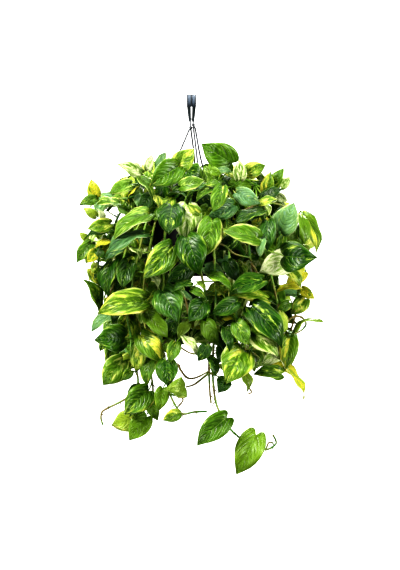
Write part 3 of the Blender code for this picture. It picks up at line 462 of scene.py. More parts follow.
# Smaller leaves that face the front, which only the looks have
SMALL_LEAVES = seen_leaves(
    ((219, 170), (232, 171), 7, 1, "silver"),
    ((211, 170), (221, 175), 9, 0, "bright"),
    ((208, 184), (221, 183), 6, 0, "green"),
    ((198, 187), (207, 183), 6, 1, "silver"),
    ((103, 223), (98.5, 208), 6, 1, "cream"),
    ((87, 239), (80, 233), 7, 0, "lime"),
    ((109, 241), (95, 246), 6, 1, "yellow"),
    ((95, 263), (92, 273), 6, 0, "lime"),
    ((97, 250), (106, 259), 8, 1, "dark"),
    ((104, 342), (100, 351), 7, 1, "green"),
    ((126, 369), (118, 380), 5, 1, "dark"),
    ((199, 282), (206, 289), 5, 0, "olive"),
    ((192, 289), (205, 297), 8, 0, "green"),
    ((199, 213), (188, 205), 9, 0, "streaked"),
    ((289, 303), (277, 312), 10, 1, "green"),
    ((299, 234), (284, 240), 8, 2, "olive"),
    ((139, 386), (127, 396), 9, 1, "dark"),
    ((158, 168), (164, 152), 9, 1, "silver"),
    ((148, 170), (151, 155), 9, 1, "cream"),
    ((140, 345), (137, 372), 16, 2, "streaked"),
    ((150, 360), (146, 385), 14, 2, "green"),
    ((284, 352), (262, 364), 14, 1, "pale"),
    ((286, 268), (303, 284), 12, 2, "streaked"),
    ((298, 226), (302, 246), 10, 2, "green"),
    # Inner leaves two layers back: their deep looks are partly their own deep green, partly painted shade
    ((176, 318), (164, 340), 15, 2, "deep"),
    ((222, 334), (240, 366), 18, 2, "dark"),
    ((232, 340), (216, 362), 14, 2, "deep"),
    ((150, 196), (138, 214), 14, 2, "deep"),
    ((200, 196), (214, 206), 12, 2, "deep"),
    ((228, 262), (238, 282), 14, 2, "deep"),
    ((122, 300), (112, 322), 14, 2, "deep"),
)

# Runners and bare stalks that hang free: the vine each grows from, its thickness, how far out it
# hangs and its points on the elevation
RUNNERS = (
    ("front_3", 0.0029, 0.80, ((177, 364), (180, 369), (186, 377), (192, 378.5), (200, 376), (208, 371.5))),
    ("front_6", 0.0029, 0.75, ((208, 374), (195, 384), (186, 387))),
    ("front_3", 0.0026, 0.85, ((170, 339), (180, 347), (190, 353), (196, 354))),
    ("front_3", 0.0023, 0.80, ((183, 399), (176, 409))),
    ("right_3", 0.0026, 0.85, ((285, 325), (293, 317), (301, 317), (306, 323), (303, 329), (293, 335))),
    ("right_2", 0.0026, 0.85, ((251.5, 349), (260, 359), (254, 364))),
    ("right_1", 0.0029, 0.90, ((217, 241), (225, 246), (235, 254), (250, 257.5))),
    ("right_1", 0.0023, 0.85, ((252, 264), (256, 270), (258, 279))),
    ("front_7", 0.0026, 0.85, ((247, 378), (249, 388), (252, 392), (248, 394))),
    ("right_1", 0.0036, 0.90, ((262, 205), (264, 218), (264, 232))),
    ("front_6", 0.0021, 0.62, ((268.5, 443), (272, 442.5), (274, 445))),
)

# Looks of a blade: tone (0 dark to 1 bright), share of yellow, how cream the yellow is, silver sheen
# (a painted reflection of the sky), lime, which half is the yellower (-1 to 1) and how yellow the margin is
LOOKS = {
    "bright": (0.54, 0.14, 0.1, 0.05, 0.14, 0.0, 0.2),
    "plain": (0.46, 0.07, 0.1, 0.05, 0.04, 0.0, 0.1),
    "mellow": (0.46, 0.10, 0.3, 0.05, 0.18, 0.0, 0.2),
    "green": (0.40, 0.27, 0.2, 0.20, 0.05, 0.0, 0.25),
    "dark": (0.24, 0.19, 0.3, 0.10, 0.00, 0.0, 0.2),
    "deep": (0.14, 0.10, 0.3, 0.08, 0.00, 0.0, 0.1),
    "blue": (0.28, 0.16, 0.6, 0.75, 0.00, 0.0, 0.5),
    "sheen": (0.24, 0.10, 0.6, 0.45, 0.00, 0.0, 0.3),
    "silver": (0.60, 0.20, 0.9, 0.95, 0.05, 0.0, 0.7),
    "pale": (0.58, 0.60, 0.95, 0.60, 0.15, 0.0, 0.5),
    "streaked": (0.44, 0.46, 0.2, 0.05, 0.10, 0.0, 0.4),
    "striped": (0.45, 0.50, 0.7, 0.15, 0.10, 0.0, 0.7),
    "speckled": (0.30, 0.12, 0.5, 0.05, 0.05, 0.0, 0.0),
    "gold": (0.50, 0.72, 0.0, 0.00, 0.20, 0.0, 0.3),
    "yellow": (0.70, 0.86, 0.0, 0.00, 0.40, 0.0, 0.0),
    "lime": (0.74, 0.42, 0.3, 0.05, 0.62, 0.0, 0.3),
    "cream": (0.60, 0.74, 1.0, 0.40, 0.20, 0.0, 0.6),
    "margined": (0.43, 0.27, 0.4, 0.15, 0.08, 0.0, 1.0),
    "olive": (0.38, 0.25, 0.5, 0.10, 0.30, 0.0, 0.4),
    "half_left": (0.42, 0.40, 0.1, 0.10, 0.10, -1.0, 0.4),
    "half_right": (0.42, 0.44, 0.1, 0.15, 0.10, 1.0, 0.4),
}
COMMON_LOOKS = ("green", "green", "dark", "dark", "deep", "streaked", "streaked", "blue", "lime",
                "gold", "margined", "bright", "striped", "pale", "silver", "half_left", "half_right")

# Stems of the crown: where each leaves the soil (radius in metres, bearing in degrees) and the points
# of the elevation it rises through, each with its depth
CROWN_STEMS = {
    "crown_1": ((0.034, 205), ((178, 200, -0.030), (168, 186, -0.040), (161, 177, -0.046))),
    "crown_2": ((0.032, 110), ((187, 196, 0.012), (186, 180, 0.016), (185, 168, 0.010))),
    "crown_3": ((0.020, 320), ((203, 196, -0.020), (216, 182, -0.022), (227, 174, -0.022))),
    "crown_4": ((0.044, 350), ((224, 200, -0.020), (244, 190, -0.026), (257, 184, -0.030))),
    "crown_5": ((0.038, 55), ((210, 198, 0.044), (222, 184, 0.056), (231, 176, 0.062))),
    "crown_6": ((0.040, 265), ((196, 202, -0.052), (203, 193, -0.064), (208, 189, -0.070))),
    "crown_7": ((0.044, 160), ((160, 198, 0.010), (144, 186, 0.006), (133, 178, 0.004))),
}

# Stems that trail over the rim and are seen from the front: how far from the pot's axis each leaves
# the soil, and the points of the elevation it hangs through
TRAILING_STEMS = {
    "left_1": (0.060, ((128, 198), (114, 199), (103, 200))),
    "left_2": (0.076, ((134, 214), (116, 228), (103, 243), (99, 256), (98, 268))),
    "left_3": (0.056, ((141, 222), (128, 246), (118, 276), (107, 300), (110, 314))),
    "front_1": (0.078, ((147, 222), (137, 262), (131, 292), (127, 314), (131, 338), (131, 352),
                        (135, 366), (138, 380), (135, 392), (122, 401), (108, 408), (102, 412),
                        (101, 419), (103, 425))),
    "front_2": (0.058, ((157, 218), (148, 258), (143, 296), (144, 320), (149, 345), (151, 372),
                        (153, 392), (150, 408))),
    "front_3": (0.080, ((167, 214), (164, 252), (163, 290), (160, 320), (161, 346), (164, 370),
                        (170, 394), (177, 408), (183, 414), (194, 412), (207, 411.5))),
    "front_4": (0.060, ((180, 214), (181, 252), (184, 290), (189, 318), (188, 334))),
    "front_5": (0.080, ((189, 212), (196, 250), (205, 292), (209, 330), (209, 366), (209.5, 388),
                        (211, 403))),
    "front_6": (0.058, ((211, 212), (214, 252), (216, 292), (214, 334), (212.6, 374), (214.8, 397),
                        (219, 411), (229, 427.5), (240, 438), (252, 446), (266, 449.5),
                        (275, 445), (276, 441), (273, 435))),
    "front_7": (0.080, ((225, 214), (229, 252), (233, 292), (238, 322), (246, 350), (246, 372))),
    "right_1": (0.060, ((240, 212), (247, 236), (251, 262), (256, 286), (262, 306))),
    "right_2": (0.080, ((250, 208), (262, 218), (263, 234), (268, 262), (276, 296), (283, 330),
                        (284, 352), (287, 369))),
    "right_3": (0.060, ((258, 204), (276, 226), (287, 250), (299, 278), (298, 292), (296, 312),
                        (291, 330))),
    "right_4": (0.076, ((272, 203), (284, 206), (294, 211), (303, 218))),
}

# Stems that trail over the sides and the back: how far from the pot's axis each leaves the soil, its
# bearing in degrees, how far out it reaches and how far below the rim it ends
BACK_STEMS = {
    "back_1": (0.060, 14, 0.230, 0.130),
    "back_2": (0.078, 35, 0.205, 0.245),
    "back_3": (0.058, 54, 0.220, 0.150),
    "back_4": (0.078, 71, 0.185, 0.285),
    "back_5": (0.056, 86, 0.215, 0.135),
    "back_6": (0.078, 107, 0.190, 0.265),
    "back_7": (0.058, 127, 0.220, 0.155),
    "back_8": (0.078, 147, 0.200, 0.250),
    "back_9": (0.060, 168, 0.230, 0.130),
}

Leaf = namedtuple("Leaf", "base tip normal width arch fold")
Petiole = namedtuple("Petiole", "root knee end")


def up(z):
    return Vector((0, 0, z))


def polar(radius, degrees, z):
    angle = math.radians(degrees)
    return Vector((radius * math.cos(angle), radius * math.sin(angle), z))


def heading_to(angle):
    """The level unit vector at an angle in radians."""
    return Vector((math.cos(angle), math.sin(angle), 0))


def square_to(vector, along):
    """The unit vector nearest to one vector that is square to another."""
    return (vector - along * vector.dot(along)).normalized()


def on_view(u, v, depth):
    """The point that the elevation shows at u, v, at a given depth behind the hook's plane."""
    reach = (depth - EYE.y) / -EYE.y
    return Vector((EYE.x + (u - MIDDLE_U) * GRID * reach, depth, EYE.z + (MIDDLE_V - v) * GRID * reach))


def view_of(point):
    """Where the elevation shows a point."""
    step = GRID * (point.y - EYE.y) / -EYE.y
    return MIDDLE_U + (point.x - EYE.x) / step, MIDDLE_V - (point.z - EYE.z) / step


def envelope_row(v):
    """Left and right edge of the foliage at height v."""
    if v <= ENVELOPE[0][0]:
        return ENVELOPE[0][1:]
    for (v0, left0, right0), (v1, left1, right1) in zip(ENVELOPE, ENVELOPE[1:]):
        if v <= v1:
            part = (v - v0) / (v1 - v0)
            return left0 + part * (left1 - left0), right0 + part * (right1 - right0)
    return ENVELOPE[-1][1:]


def dome_depth(u, v):
    """Depth of the foliage's front at u, v."""
    left, right = envelope_row(v)
    half = (right - left) / 2
    off = (u - (left + right) / 2) / half
    return -DOME_DEPTH * GRID * half * math.sqrt(max(0.03, 1 - off * off))


def smooth_path(points, step):
    """Points about one step apart on a smooth curve through the given ones."""
    ends = [2 * points[0] - points[1], *points, 2 * points[-1] - points[-2]]
    path = [points[0]]
    for before, start, end, after in zip(ends, ends[1:], ends[2:], ends[3:]):
        count = max(1, round((end - start).length / step))
        for i in range(1, count + 1):
            t = i / count
            path.append(0.5 * (2 * start + (end - before) * t
                               + (2 * before - 5 * start + 4 * end - after) * t * t
                               + (3 * start - before - 3 * end + after) * t ** 3))
    return path


def ring_faces(rings, sides):
    """The faces between one ring of vertices and the next."""
    pairs = [(i * sides + k, i * sides + (k + 1) % sides) for i in range(rings - 1) for k in range(sides)]
    return [(a, b, b + sides, a + sides) for a, b in pairs]


def tube(path, radius, sides):
    """Vertices and faces of a closed tube along a path."""
    vertices = []
    side = None
    for i, point in enumerate(path):
        along = (path[min(i + 1, len(path) - 1)] - path[max(i - 1, 0)]).normalized()
        if side is None:
            side = along.orthogonal().normalized()
        side = square_to(side, along)
        over = along.cross(side)
        for k in range(sides):
            angle = 2 * math.pi * k / sides
            vertices.append(point + radius * (side * math.cos(angle) + over * math.sin(angle)))
    last = (len(path) - 1) * sides
    caps = [tuple(reversed(range(sides))), tuple(range(last, last + sides))]
    return vertices, ring_faces(len(path), sides) + caps


def lathe(profile, sides):
    """Vertices and faces of a turned surface, for tests of clearance."""
    vertices = [polar(r, 360 * k / sides, z) for r, z in profile for k in range(sides)]
    return vertices, ring_faces(len(profile), sides)


def blade_surface(leaf, lift=0.0):
    """Vertices and triangles of a leaf blade's middle surface, raised by lift along its normal."""
    length = (leaf.tip - leaf.base).length
    along = (leaf.tip - leaf.base) / length
    side = leaf.normal.cross(along)
    small = leaf.width < SMALL_BREADTH
    outline, rib = (SMALL_OUTLINE, SMALL_RIB) if small else (FULL_OUTLINE, FULL_RIB)

    def point(s, w):
        rise = leaf.arch * length * 4 * s * (1 - s) + leaf.fold * leaf.width * abs(w)
        return leaf.base + along * (length * s) + side * (leaf.width * w) + leaf.normal * (rise + lift)

    vertices = [point(s, 0) for s in rib] + [leaf.tip + leaf.normal * lift]
    faces = []
    tip = len(rib)
    for way in (1, -1):
        first = len(vertices)
        vertices += [point(s, way * w) for s, w in outline]
        edge = list(range(first, len(vertices)))
        halves = [(0, edge[0], edge[1])]
        for i in range(1, len(rib)):
            halves.append((i - 1, edge[i], i))
            halves.append((i, edge[i], edge[i + 1]))
        halves.append((tip - 1, edge[-1], tip))
        faces += halves if way == -1 else [tuple(reversed(face)) for face in halves]
    return vertices, faces


def blade_hull(leaf, spare):
    """Both faces and the rim of a blade, a little apart, to test that it is clear of other pieces."""
    more = spare - BLADE_THICK / 2
    along = (leaf.tip - leaf.base).normalized()
    leaf = leaf._replace(tip=leaf.tip + along * more, width=leaf.width + 2 * more)
    over, faces = blade_surface(leaf, spare)
    under, _ = blade_surface(leaf, -spare)
    count = len(over)
    ribs = len(SMALL_RIB if leaf.width < SMALL_BREADTH else FULL_RIB)
    half = (count - ribs - 1) // 2
    rim = []
    for first in (ribs + 1, ribs + 1 + half):
        loop = [0, *range(first, first + half), ribs]
        rim += [(a, b, b + count, a + count) for a, b in zip(loop, loop[1:])]
    return over + under, faces + [tuple(i + count for i in face) for face in faces] + rim


class Space:
    """What already stands in the plant, to keep each new piece clear of it."""

    def __init__(self):
        self.things = []

    def add(self, vertices, faces, vine, kind):
        low = Vector(min(v[i] for v in vertices) for i in range(3))
        high = Vector(max(v[i] for v in vertices) for i in range(3))
        self.things.append((low, high, BVHTree.FromPolygons(vertices, faces), vine, kind))

    def hit(self, vertices, faces, passes=None):
        """True if the shape touches anything, apart from what passes() lets it touch."""
        low = [min(v[i] for v in vertices) for i in range(3)]
        high = [max(v[i] for v in vertices) for i in range(3)]
        tree = None
        for thing_low, thing_high, thing_tree, vine, kind in self.things:
            if any(low[i] > thing_high[i] or high[i] < thing_low[i] for i in range(3)):
                continue
            if passes and passes(vine, kind):
                continue
            tree = tree or BVHTree.FromPolygons(vertices, faces)
            if thing_tree.overlap(tree):
                return True
        return False


def strand_paths():
    """Top to bottom, the four strands from the hanger's beads to the rim's holes."""
    right_bead, left_bead = Vector((0.0043, 0.0, -0.0690)), Vector((-0.0017, 0.0, -0.0760))
    bends = {
        "strand_left": (left_bead, (-3.6, -0.9, -5.6), ((181.4, 148, -0.006), (168, 178, -0.008))),
        "strand_back": (left_bead, (0.5, 3.9, -5.0), ((194.6, 161, 0.044), (194.4, 186, 0.076))),
        "strand_front": (right_bead, (0.2, -4.2, -5.0), ((197.6, 163, -0.046), (199.6, 188, -0.078))),
        "strand_right": (right_bead, (3.0, 1.2, -5.2), ((202.4, 165, 0.003), (214, 190, 0.006))),
    }
    paths = {}
    for name, (bead, start, points) in bends.items():
        start = Vector(start).normalized()
        top = bead + start * (BEAD_RADIUS + GAP)
        hole = polar(STRAND_CIRCLE, STRAND_BEARINGS[name], RIM_Z)
        points = [top, top + start * 0.005, *(on_view(*point) for point in points),
                  hole + up(0.008), hole - up(FLANGE_THICK + 0.0012)]
        paths[name] = smooth_path(points, STRAND_STEP)
    return paths


def clear_of_pot(point):
    """The point, moved straight out from the pot's axis until it clears the wall and the rim."""
    flat = Vector((point.x, point.y, 0))
    beside = POT_FLOOR_Z - BERTH_BEYOND <= point.z <= RIM_Z + BERTH_BEYOND
    if not beside or flat.length > POT_BERTH:
        return point
    flat = flat.normalized() * POT_BERTH
    return Vector((flat.x, flat.y, point.z))


def rooted(radius, bearing):
    """The two lowest points of a stem: the foot of its hole and the surface of the soil."""
    foot = polar(radius, bearing, SOIL_Z - STEM_DEPTH + GAP)
    return [foot, Vector((foot.x, foot.y, SOIL_Z + 0.006))]


def stem_paths():
    """Every stem's path, foot to tip."""
    paths = {}
    for name, ((radius, bearing), points) in CROWN_STEMS.items():
        foot, top = rooted(radius, bearing)
        paths[name] = [foot] + smooth_path([top, *(on_view(*point) for point in points)], CROWN_STEP)
    for name, (radius, points) in TRAILING_STEMS.items():
        hang = [clear_of_pot(on_view(u, v, STEM_INSET * dome_depth(u, v))) for u, v in points]
        out = Vector((hang[0].x, hang[0].y, 0))
        foot, top = rooted(radius, math.degrees(math.atan2(out.y, out.x)))
        crest = out.normalized() * CREST_RADIUS + up(max(RIM_Z + 0.018, hang[0].z + 0.008))
        paths[name] = [foot] + smooth_path([top, crest, *hang], TRAILING_STEP)
    for name, (radius, bearing, reach, drop) in BACK_STEMS.items():
        foot, top = rooted(radius, bearing)
        crest = polar(CREST_RADIUS, bearing, RIM_Z + 0.024)
        shoulder = polar(0.62 * reach + 0.03, bearing + 2, RIM_Z + 0.006)
        widest = polar(0.86 * reach, bearing - 3, RIM_Z - 0.45 * drop)
        tip = polar(0.80 * reach, bearing + 3, RIM_Z - drop)
        paths[name] = [foot] + smooth_path([top, crest, shoulder, widest, tip], BACK_STEP)
    return paths


def seen_leaf(row, shift):
    """A leaf that shows on the elevation as its row says, shifted in depth."""
    (u0, v0), (u1, v1) = row.base, row.tip
    depth = dome_depth(u0, v0) * (1 - LAYER_STEP * row.layer) + shift
    base = on_view(u0, v0, depth)
    shown = (on_view(u1, v1, depth) - base).length
    breadth = row.breadth * GRID
    width = max(breadth, LEAST_RATIO * shown)
    length = max(LEAST_STRETCH * shown, width / MOST_RATIO)
    tip = on_view(u1, v1, depth - math.sqrt(length ** 2 - shown ** 2))
    along = (tip - base).normalized()
    facing = square_to(EYE - base, along)
    side = along.cross(facing)
    turn = math.acos(min(1.0, breadth / width)) * (1 if side.z >= 0 else -1)
    normal = facing * math.cos(turn) + side * math.sin(turn)
    rng = random.Random(round(100 * u0 + v0))
    return Leaf(base, tip, normal, width, rng.uniform(*ARCH), rng.uniform(*FOLD))


def ruled_blade(base, along, normal, length, arch, fold, rng):
    """A blade of the usual proportions, its normal made square to its length."""
    width = length * rng.uniform(*FILL_RATIO)
    return Leaf(base, base + along * length, square_to(normal, along), width, rng.uniform(*arch),
                rng.uniform(*fold))


def fill_leaf(node, outward, turn, rng):
    """A leaf on a short petiole at one node of a stem, drooping outwards."""
    heading = heading_to(outward + turn)
    out = (heading + up(rng.uniform(*FILL_RISE))).normalized()
    base = node + out * rng.uniform(*FILL_PETIOLE)
    droop = rng.uniform(*FILL_DROOP)
    along = (heading + Vector((rng.uniform(*FILL_SWAY), rng.uniform(*FILL_SWAY), droop))).normalized()
    length = rng.uniform(*FILL_LENGTH)
    normal = heading * rng.uniform(0.2, 0.8) + up(rng.uniform(0.6, 1.2))
    leaf = ruled_blade(base, along, normal, length, FILL_ARCH, FILL_FOLD, rng)
    end = petiole_end(leaf)
    knee = node.lerp(end, 0.55) + up(0.10 * (end - node).length)
    return leaf, Petiole(node, knee, end)


def crown_leaf(rng):
    """A leaf over the pot, facing up and a little outwards."""
    bearing = rng.uniform(0, 360)
    base = polar(rng.uniform(*CROWN_RADIUS), bearing, RIM_Z + rng.uniform(*CROWN_RISE))
    heading = heading_to(math.radians(bearing + rng.uniform(*CROWN_TURN)))
    along = (heading + up(rng.uniform(-0.7, 0.2))).normalized()
    normal = heading * rng.uniform(0.0, 0.4) + Vector((rng.uniform(-0.3, 0.3), rng.uniform(-0.3, 0.3), 1))
    length = rng.uniform(*FILL_LENGTH)
    return ruled_blade(base, along, normal, length, CROWN_ARCH, FILL_FOLD, rng)


def small_leaf(node, outward, rng):
    """A young leaf or an inner one, near a node of a stem."""
    heading = heading_to(outward + rng.uniform(*SMALL_TURN))
    base = node + (heading + up(rng.uniform(-0.4, 0.9))).normalized() * rng.uniform(*SMALL_REACH)
    along = (heading + up(rng.uniform(-1.8, 0.3))).normalized()
    length = rng.uniform(*SMALL_LENGTH)
    normal = heading * rng.uniform(0.3, 1.0) + up(rng.uniform(0.4, 1.2))
    return ruled_blade(base, along, normal, length, SMALL_ARCH, SMALL_FOLD, rng)


def backing_leaf(u, v, rng):
    """A leaf across one place on the elevation, at some depth, facing the front more or less."""
    middle = on_view(u, v, rng.uniform(*BACKING_DEPTH) * dome_depth(u, v))
    lean = Vector((rng.uniform(-0.8, 0.8), rng.uniform(-0.2, 0.2), rng.uniform(-0.3, 1.0)))
    normal = ((EYE - middle).normalized() + lean).normalized()
    along = Vector((rng.uniform(-1, 1), rng.uniform(-0.4, 0.4), rng.uniform(-1.2, 0.1)))
    along = square_to(along, normal)
    length = rng.uniform(*BACKING_LENGTH)
    base = middle - along * (0.42 * length)
    return Leaf(base, base + along * length, normal, length * rng.uniform(*FILL_RATIO),
                rng.uniform(*SMALL_ARCH), rng.uniform(*SMALL_FOLD))


def petiole_end(leaf):
    """Where a petiole ends inside the blade, a little way along its rib."""
    part = (SMALL_RIB if leaf.width < SMALL_BREADTH else FULL_RIB)[1]
    reach = leaf.tip - leaf.base
    rib = reach * part + leaf.normal * (leaf.arch * reach.length * 4 * part * (1 - part))
    return leaf.base + rib.normalized() * PETIOLE_IN_BLADE


def inside_outline(leaf, lowest, margin, deeper):
    """True if a blade keeps within the foliage's outline on the elevation, and behind its front."""
    for point in blade_surface(leaf)[0]:
        u, v = view_of(point)
        left, right = envelope_row(v)
        if not HIGHEST_FILL_V < v < lowest or not left + margin < u < right - margin:
            return False
        if point.y < deeper * dome_depth(u, v):
            return False
    return True


def blocks_view(point, at_front, margin):
    """True if a point stands in a view that is open between the leaves, or too close to it."""
    u, v = view_of(point)
    views = OPEN_VIEWS + ((OPEN_POT_WALL,) if at_front else ())
    return any(math.hypot(u - cu, v - cv) < radius + margin for cu, cv, radius in views)


def fill_leaf_fits(leaf):
    """True if a leaf placed by rule keeps inside the outline and out of the open views."""
    if not inside_outline(leaf, LOWEST_FILL_V, 0, DEEPER):
        return False
    return not blocks_view(leaf.base.lerp(leaf.tip, 0.45), leaf.base.y < 0, FILL_MARGIN)


def small_leaf_fits(leaf):
    """The same for a leaf that only the looks have."""
    if not inside_outline(leaf, LOWEST_SMALL_V, EDGE_MARGIN, SMALL_DEEPER):
        return False
    for point in blade_surface(leaf)[0]:
        u, v = view_of(point)
        if v > LOWEST_FILL_V and OPEN_BELOW[0] < u < OPEN_BELOW[1]:
            return False
        if blocks_view(point, point.y < 0, SMALL_MARGIN):
            return False
    return True


def shown_cells(leaf):
    """The cells of the elevation that a blade covers."""
    vertices, faces = blade_surface(leaf)
    views = [view_of(vertex) for vertex in vertices]
    cells = set()
    for face in faces:
        (ua, va), (ub, vb), (uc, vc) = (views[i] for i in face)
        area = (ub - ua) * (vc - va) - (uc - ua) * (vb - va)
        if abs(area) < 1e-6:
            continue
        columns, rows = (range(math.floor(min(ends) / CELL), math.ceil(max(ends) / CELL) + 1)
                         for ends in ((ua, ub, uc), (va, vb, vc)))
        for column in columns:
            for row in rows:
                u, v = column * CELL, row * CELL
                first = ((ub - ua) * (v - va) - (u - ua) * (vb - va)) / area
                second = ((u - ua) * (vc - va) - (uc - ua) * (v - va)) / area
                if first >= 0 and second >= 0 and first + second <= 1:
                    cells.add((column, row))
    return cells


class Planting:
    """The stems and the leaves set on them, every piece clear of the pot and of the other vines."""

    def __init__(self):
        self.stems = stem_paths()
        self.leaves = {name: [] for name in self.stems}
        self.space = Space()
        flange, soil_top = FLANGE_RADIUS + POT_ROOM, SOIL_Z + POT_ROOM
        wall = [(POT_BASE_RADIUS + POT_ROOM, POT_FLOOR_Z), (POT_TOP_RADIUS + POT_ROOM, RIM_Z),
                (flange, RIM_Z - FLANGE_THICK), (flange, RIM_Z + POT_ROOM),
                (POT_TOP_RADIUS - POT_WALL - POT_ROOM, RIM_Z + POT_ROOM),
                (POT_TOP_RADIUS - POT_WALL - 0.003, SOIL_Z)]
        base = [(0.0, POT_FLOOR_Z), (POT_BASE_RADIUS, POT_FLOOR_Z)]
        self.space.add(*lathe(wall, POT_SIDES), None, "pot")
        self.space.add(*lathe(base, POT_SIDES), None, "pot")
        self.space.add(*lathe([(0.0, soil_top), (POT_TOP_RADIUS, soil_top)], 12), None, "soil")
        for path in strand_paths().values():
            self.space.add(*tube(path, STRAND_RADIUS + STRAND_ROOM, 5), None, "strand")
        self.space.add(*tube([up(z) for z in HANGER_SPAN], HANGER_ROOM, 6), None, "hanger")
        for name, path in self.stems.items():
            self.space.add(*tube(path, STEM_RADIUS, 6), name, "stem")

    def blade_hits(self, leaf):
        return self.space.hit(*blade_hull(leaf, BLADE_THICK / 2 + BLADE_CLEARANCE))

    def petiole_hits(self, petiole, passes):
        return self.space.hit(*tube(petiole, PETIOLE_ROOM + PETIOLE_CLEARANCE, 6), passes)

    def keep(self, name, leaf, petiole, look=None):
        """Sets a leaf on a vine, and takes up its room."""
        self.leaves[name].append((leaf, petiole, look))
        self.space.add(*blade_hull(leaf, BLADE_THICK / 2), name, "blade")
        self.space.add(*tube(petiole, PETIOLE_ROOM, 6), name, "petiole")

    def petiole_to(self, leaf, reach, family, most):
        """The shortest clear petiole from a stem of a family to a leaf, with the stem's name, or None."""
        end = petiole_end(leaf)
        along = (leaf.tip - leaf.base).normalized()
        roots = []
        for name, path in self.stems.items():
            if not name.startswith(family):
                continue
            for start, stop in zip(path[2:], path[3:]):
                for root in (start.lerp(stop, 0.0), start.lerp(stop, 0.5)):
                    roots.append(((root - end).length, name, root))
            roots.append(((path[-1] - end).length, name, path[-1].lerp(path[-2], 0.15)))
        roots = [root for root in roots if NEAREST_ROOT < root[0] < reach]
        roots.sort(key=lambda item: item[0])
        for far, name, root in roots[:most]:
            for back, under in PETIOLE_BENDS:
                knee = end - along * (back * far) - leaf.normal * (under * far)
                petiole = Petiole(root, knee.lerp(root, 0.25), end)
                if not self.petiole_hits(petiole, lambda vine, kind: kind == "soil"
                                         or vine == name and kind != "blade"):
                    return name, petiole
        return None

    def settled(self, leaf, family, reach, look=None, most=MOST_ROOTS):
        """Adds a leaf with a clear petiole from a stem of the family, if there is one."""
        found = None if self.blade_hits(leaf) else self.petiole_to(leaf, reach, family, most)
        if found:
            self.keep(found[0], leaf, found[1], look)
        return bool(found)

    def add_seen(self, row, family, reach):
        """Adds a leaf of a table at the first depth where it fits."""
        shifts = [0.0] + [way * DEPTH_SHIFT * i for i in range(1, DEPTH_SHIFTS + 1) for way in (-1, 1)]
        return any(self.settled(seen_leaf(row, shift), family, reach, row.look) for shift in shifts)

    def add_crown_leaves(self):
        """Leaves by rule over the pot."""
        rng = random.Random(CROWN_SEED)
        placed = 0
        for _ in range(CROWN_TRIES):
            if placed == CROWN_FILL:
                break
            leaf = crown_leaf(rng)
            if fill_leaf_fits(leaf) and self.settled(leaf, "crown", CROWN_REACH):
                placed += 1

    def add_fill_leaves(self):
        """Leaves by rule down every stem, left and right in turn."""
        rng = random.Random(FILL_SEED)
        for name, path in self.stems.items():
            side = 1
            way = 0.0
            for before, node in zip(path[2:], path[3:]):
                way += (node - before).length
                if way < FILL_SPACING or node.z < on_view(0, LOWEST_FILL_V, node.y).z:
                    continue
                way = 0.0
                side = -side
                outward = math.atan2(node.y, node.x)
                for _ in range(FILL_TRIES):
                    leaf, petiole = fill_leaf(node, outward, side * rng.uniform(*FILL_TURN), rng)
                    if math.hypot(leaf.tip.x, leaf.tip.y) > FARTHEST_OUT or not fill_leaf_fits(leaf):
                        continue
                    if self.blade_hits(leaf):
                        continue
                    if not self.petiole_hits(petiole, lambda vine, kind: vine == name and kind != "blade"):
                        self.keep(name, leaf, petiole)
                        break

    def back_the_view(self):
        """Leaves behind those that face the front, wherever the elevation still shows through."""
        rng = random.Random(BACKING_SEED)
        covered = set()
        for vine in self.leaves.values():
            for leaf, _, _ in vine:
                covered |= shown_cells(leaf)
        cells = [(column, row) for row in range(HIGHEST_FILL_V // CELL, LOWEST_SMALL_V // CELL)
                 for column in range(BACKING_COLUMNS[0] // CELL, BACKING_COLUMNS[1] // CELL)]
        rng.shuffle(cells)
        for cell in cells:
            if cell in covered:
                continue
            for _ in range(BACKING_TRIES):
                leaf = backing_leaf(cell[0] * CELL, cell[1] * CELL, rng)
                if small_leaf_fits(leaf) and self.settled(leaf, "", BACKING_REACH, most=SMALL_ROOTS):
                    covered |= shown_cells(leaf)
                    break

    def add_small_leaves(self):
        """Small leaves by rule along every stem, wherever one fits."""
        rng = random.Random(SMALL_SEED)
        for name, path in self.stems.items():
            for start, stop in zip(path[2:], path[3:]):
                for part in SMALL_PARTS:
                    node = start.lerp(stop, part)
                    outward = math.atan2(node.y, node.x)
                    for _ in range(SMALL_TRIES):
                        leaf = small_leaf(node, outward, rng)
                        if math.hypot(leaf.tip.x, leaf.tip.y) > FARTHEST_OUT or not small_leaf_fits(leaf):
                            continue
                        if self.settled(leaf, name, SMALL_PETIOLE_REACH, most=SMALL_ROOTS):
                            break


def planned_foliage():
    """Each vine's path, and its leaves with their petioles and looks."""
    planting = Planting()
    for row in SEEN_LEAVES:
        family = "crown" if row in CROWN_LEAVES else ""
        if not planting.add_seen(row, family, SEEN_REACH):
            planting.add_seen(row, "", WIDER_REACH)
    planting.add_crown_leaves()
    planting.add_fill_leaves()
    for row in SMALL_LEAVES:
        planting.add_seen(row, "", WIDER_REACH)
    planting.back_the_view()
    planting.add_small_leaves()
    return planting.stems, planting.leaves


class Value:
    """A node's output that takes part in sums: each operator adds a Math node."""

    def __init__(self, nodes, socket):
        self.nodes, self.socket = nodes, socket

    def __add__(self, other):
        return self.nodes.math("ADD", self, other)

    def __sub__(self, other):
        return self.nodes.math("SUBTRACT", self, other)

    def __rsub__(self, other):
        return self.nodes.math("SUBTRACT", other, self)

    def __mul__(self, other):
        return self.nodes.math("MULTIPLY", self, other)

    def __truediv__(self, other):
        return self.nodes.math("DIVIDE", self, other)

    def __pow__(self, power):
        return self.nodes.math("POWER", self, power)

    def __abs__(self):
        return self.nodes.math("ABSOLUTE", self)

    def times(self, factor, plus, clamp=False):
        """The value times a factor, plus another value."""
        return self.nodes.math("MULTIPLY_ADD", self, factor, plus, clamp=clamp)


